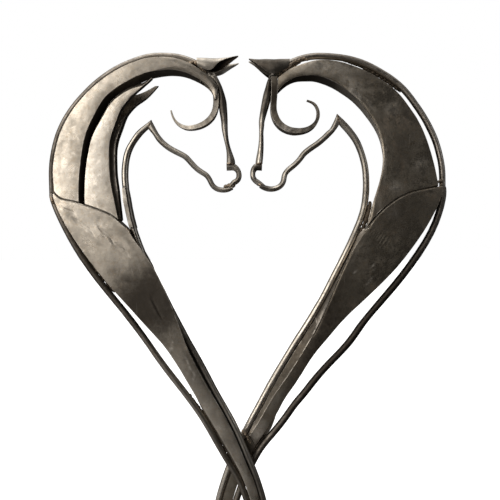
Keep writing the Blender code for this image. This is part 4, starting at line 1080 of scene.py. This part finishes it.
def weld(name, lumps):
    """A bead of merged and eased lumps of weld metal through the given ones."""
    grain = bpy.context.scene.horse_forging.weld_grain
    shape = bmesh.new()
    for start, end in zip(lumps, lumps[1:]):
        apart = math.dist(start[:2], end[:2]) * SQUARE * 1000
        count = max(LUMPS_LEAST, math.ceil(apart / (LUMP_SPACING * start[3])))
        for step in range(count):
            x, z, y, radius = (a + (b - a) * step / count for a, b in zip(start, end))
            place = np.array([x * SQUARE + CAMERA_ACROSS, y / 1000, z * SQUARE + BASE_TOP])
            cell = np.array([np.round(place * LUMP_CELLS).astype(np.int64)])
            place = place + [LUMP_STRAY * scatter(cell, k)[0] for k in range(3)]
            size = radius / 1000 * (LUMP_SIZE + LUMP_SPREAD * scatter(cell, 7)[0])
            bmesh.ops.create_icosphere(shape, subdivisions=2, radius=size, matrix=Matrix.Translation(place))
    mesh = bpy.data.meshes.new(name + "_weld")
    shape.to_mesh(mesh)
    shape.free()
    piece = new_piece(name + "_weld", mesh)
    merged = piece.modifiers.new("merged", "REMESH")
    merged.mode = "VOXEL"
    merged.voxel_size = grain
    eased = piece.modifiers.new("eased", "SMOOTH")
    eased.factor = 0.5
    eased.iterations = WELD_EASING
    settle(piece)
    points, normals = read_points(piece.data), read_points(piece.data, "normal")
    ripples = grain * RIPPLE_HEIGHT * noise_lumps(points, grain * RIPPLE_LENGTH, RIPPLE_SEED)
    points += normals * ripples[:, None]
    points[:, 2] = np.maximum(points[:, 2], CAD_BOX[0].z)
    write_points(piece.data, points)
    # Welds that sit in grooves are painted dark as shade
    write_mask(piece.data, "hollow", np.full(len(points), GROOVE_SHADE if "groove" in name else 0.0))
    finish_piece(piece, finished_steel("weld"))


class HORSES_OT_welds(bpy.types.Operator):
    """Lay the lumps of weld metal where the pieces meet"""

    bl_idname = "horses.welds"
    bl_label = "Welds"

    def execute(self, context):
        for name, lumps in WELDS.items():
            weld(name, lumps)
        return {"FINISHED"}


def soft_light(name, place, size, power, colour):
    """A broad lamp that looks at the middle of the horses."""
    light = bpy.data.lights.new(name, "AREA")
    light.shape = "RECTANGLE"
    light.size, light.size_y = size
    light.energy = power
    light.color = colour
    lamp = bpy.data.objects.new(name, light)
    lamp.location = place
    lamp.rotation_euler = (Vector(LIT_PLACE) - Vector(place)).to_track_quat("-Z", "Y").to_euler()
    bpy.context.scene.collection.objects.link(lamp)


def floor_material():
    """A pale floor that turns to plain white further off, and for the steel a dim one, lit at the left."""
    settings = bpy.context.scene.horse_stage
    material = bpy.data.materials.new("Pale floor")
    material.use_nodes = True
    tree = material.node_tree
    graph = Graph(tree)
    shader = tree.nodes["Principled BSDF"]
    seen = graph.add("ShaderNodeLightPath").outputs["Is Camera Ray"]
    place = graph.add("ShaderNodeTexCoord").outputs["Object"]
    away = graph.add("ShaderNodeVectorMath", {0: place}, operation="LENGTH").outputs["Value"]
    grain = graph.noise(place, 30.0, detail=3.0, roughness=0.5)
    pale = graph.tint(graph.times(grain, 0.04), (*settings.floor, 1.0), (0.85, 0.85, 0.84, 1.0))
    tree.links.new(graph.tint(seen, (0.05, 0.047, 0.044, 1.0), pale), shader.inputs["Base Color"])
    shader.inputs["Roughness"].default_value = 0.9
    shader.inputs["Specular IOR Level"].default_value = 0.0
    shader.inputs["Emission Color"].default_value = (1.0, 1.0, 1.0, 1.0)
    glow = graph.spread(away, 0.24, 0.42, 0.35, 1.0)
    across = graph.add("ShaderNodeSeparateXYZ", {"Vector": place}).outputs["X"]
    near, left = graph.spread(away, 0.9, 2.6, 0.3, 0.0), graph.spread(across, 0.0, -0.1)
    glow_unseen = graph.times(near, left)
    tree.links.new(graph.blend(seen, glow_unseen, glow), shader.inputs["Emission Strength"])
    return material


def studio_world():
    """White behind the horses, and for the steel a room that is bright at the left and dark at the right."""
    world = bpy.data.worlds.new("Studio")
    world.use_nodes = True
    tree = world.node_tree
    graph = Graph(tree)
    background = tree.nodes["Background"]
    seen = graph.add("ShaderNodeLightPath").outputs["Is Camera Ray"]
    direction = graph.add("ShaderNodeTexCoord").outputs["Generated"]
    parts = graph.add("ShaderNodeSeparateXYZ", {"Vector": direction}).outputs
    left = graph.spread(parts["X"], -0.01, -0.22, 0.03, 1.25)
    up = graph.spread(parts["Z"], -0.10, 0.07, 0.1, 1.0)
    high = graph.spread(parts["Z"], 0.22, 0.45, 1.0, 0.55)
    forward = graph.spread(parts["Y"], 0.2, -0.6, 0.35, 1.0)
    window = graph.times(graph.times(left, up), graph.times(high, forward))
    overhead = graph.spread(parts["Z"], 0.5, 0.95, 0.0, 0.6)
    far_right = graph.spread(parts["X"], 0.75, 0.95, 0.0, 0.12)
    room = graph.math("ADD", graph.math("MAXIMUM", window, overhead), far_right)
    light = graph.tint(seen, (1.0, 0.97, 0.93, 1.0), (1.0, 1.0, 1.0, 1.0))
    tree.links.new(light, background.inputs["Color"])
    tree.links.new(graph.blend(seen, room, 1.0), background.inputs["Strength"])
    bpy.context.scene.world = world


class HORSES_OT_stage(bpy.types.Operator):
    """Set up the pale floor, the studio lights and the camera"""

    bl_idname = "horses.stage"
    bl_label = "Studio and camera"

    def execute(self, context):
        settings = context.scene.horse_stage
        shape = bmesh.new()
        bmesh.ops.create_circle(shape, cap_ends=True, segments=FLOOR_SIDES, radius=FLOOR_RADIUS)
        mesh = bpy.data.meshes.new("studio_floor")
        shape.to_mesh(mesh)
        shape.free()
        mesh.materials.append(floor_material())
        floor = new_piece("studio_floor", mesh)
        floor.location.z = CAD_BOX[0].z - FLOOR_BELOW
        studio_world()
        for name, place, size, power, colour in LIGHTS:
            soft_light(name, place, size, getattr(settings, power), colour)
        camera = bpy.data.cameras.new("camera")
        camera.sensor_fit = "HORIZONTAL"
        camera.angle = settings.camera_angle
        eye = bpy.data.objects.new("camera", camera)
        eye.location = (CAMERA_ACROSS, -settings.camera_distance, settings.camera_height)
        eye.rotation_euler = (math.pi / 2, 0.0, 0.0)
        context.scene.collection.objects.link(eye)
        context.scene.camera = eye
        context.scene.view_settings.view_transform = "Standard"
        return {"FINISHED"}


OPERATORS = (
    HORSES_OT_necks, HORSES_OT_shoulders, HORSES_OT_rods, HORSES_OT_throats, HORSES_OT_heads,
    HORSES_OT_ears, HORSES_OT_base, HORSES_OT_welds, HORSES_OT_stage,
)


class HORSES_PT_panel(bpy.types.Panel):
    """Lists the steps that dress the horses"""

    bl_idname = "HORSES_PT_panel"
    bl_label = "Forged Steel Horses"
    bl_space_type = "VIEW_3D"
    bl_region_type = "UI"
    bl_category = "Horses"

    def draw(self, context):
        for group, kind in SETTINGS.items():
            box = self.layout.box()
            for name in kind.__annotations__:
                box.prop(getattr(context.scene, group), name)
        for operator in OPERATORS:
            self.layout.operator(operator.bl_idname)


SETTINGS = {"horse_forging": ForgingSettings, "horse_finish": FinishSettings, "horse_stage": StageSettings}
CLASSES = (*SETTINGS.values(), *OPERATORS, HORSES_PT_panel)


def register():
    for item in CLASSES:
        bpy.utils.register_class(item)
    for name, kind in SETTINGS.items():
        setattr(bpy.types.Scene, name, bpy.props.PointerProperty(type=kind))


def unregister():
    for name in reversed(SETTINGS):
        delattr(bpy.types.Scene, name)
    for item in reversed(CLASSES):
        bpy.utils.unregister_class(item)


def main():
    register()
    bpy.ops.horses.necks()
    bpy.ops.horses.shoulders()
    bpy.ops.horses.rods()
    bpy.ops.horses.throats()
    bpy.ops.horses.heads()
    bpy.ops.horses.ears()
    bpy.ops.horses.base()
    bpy.ops.horses.welds()
    bpy.ops.horses.stage()


if __name__ == "__main__":
    main()
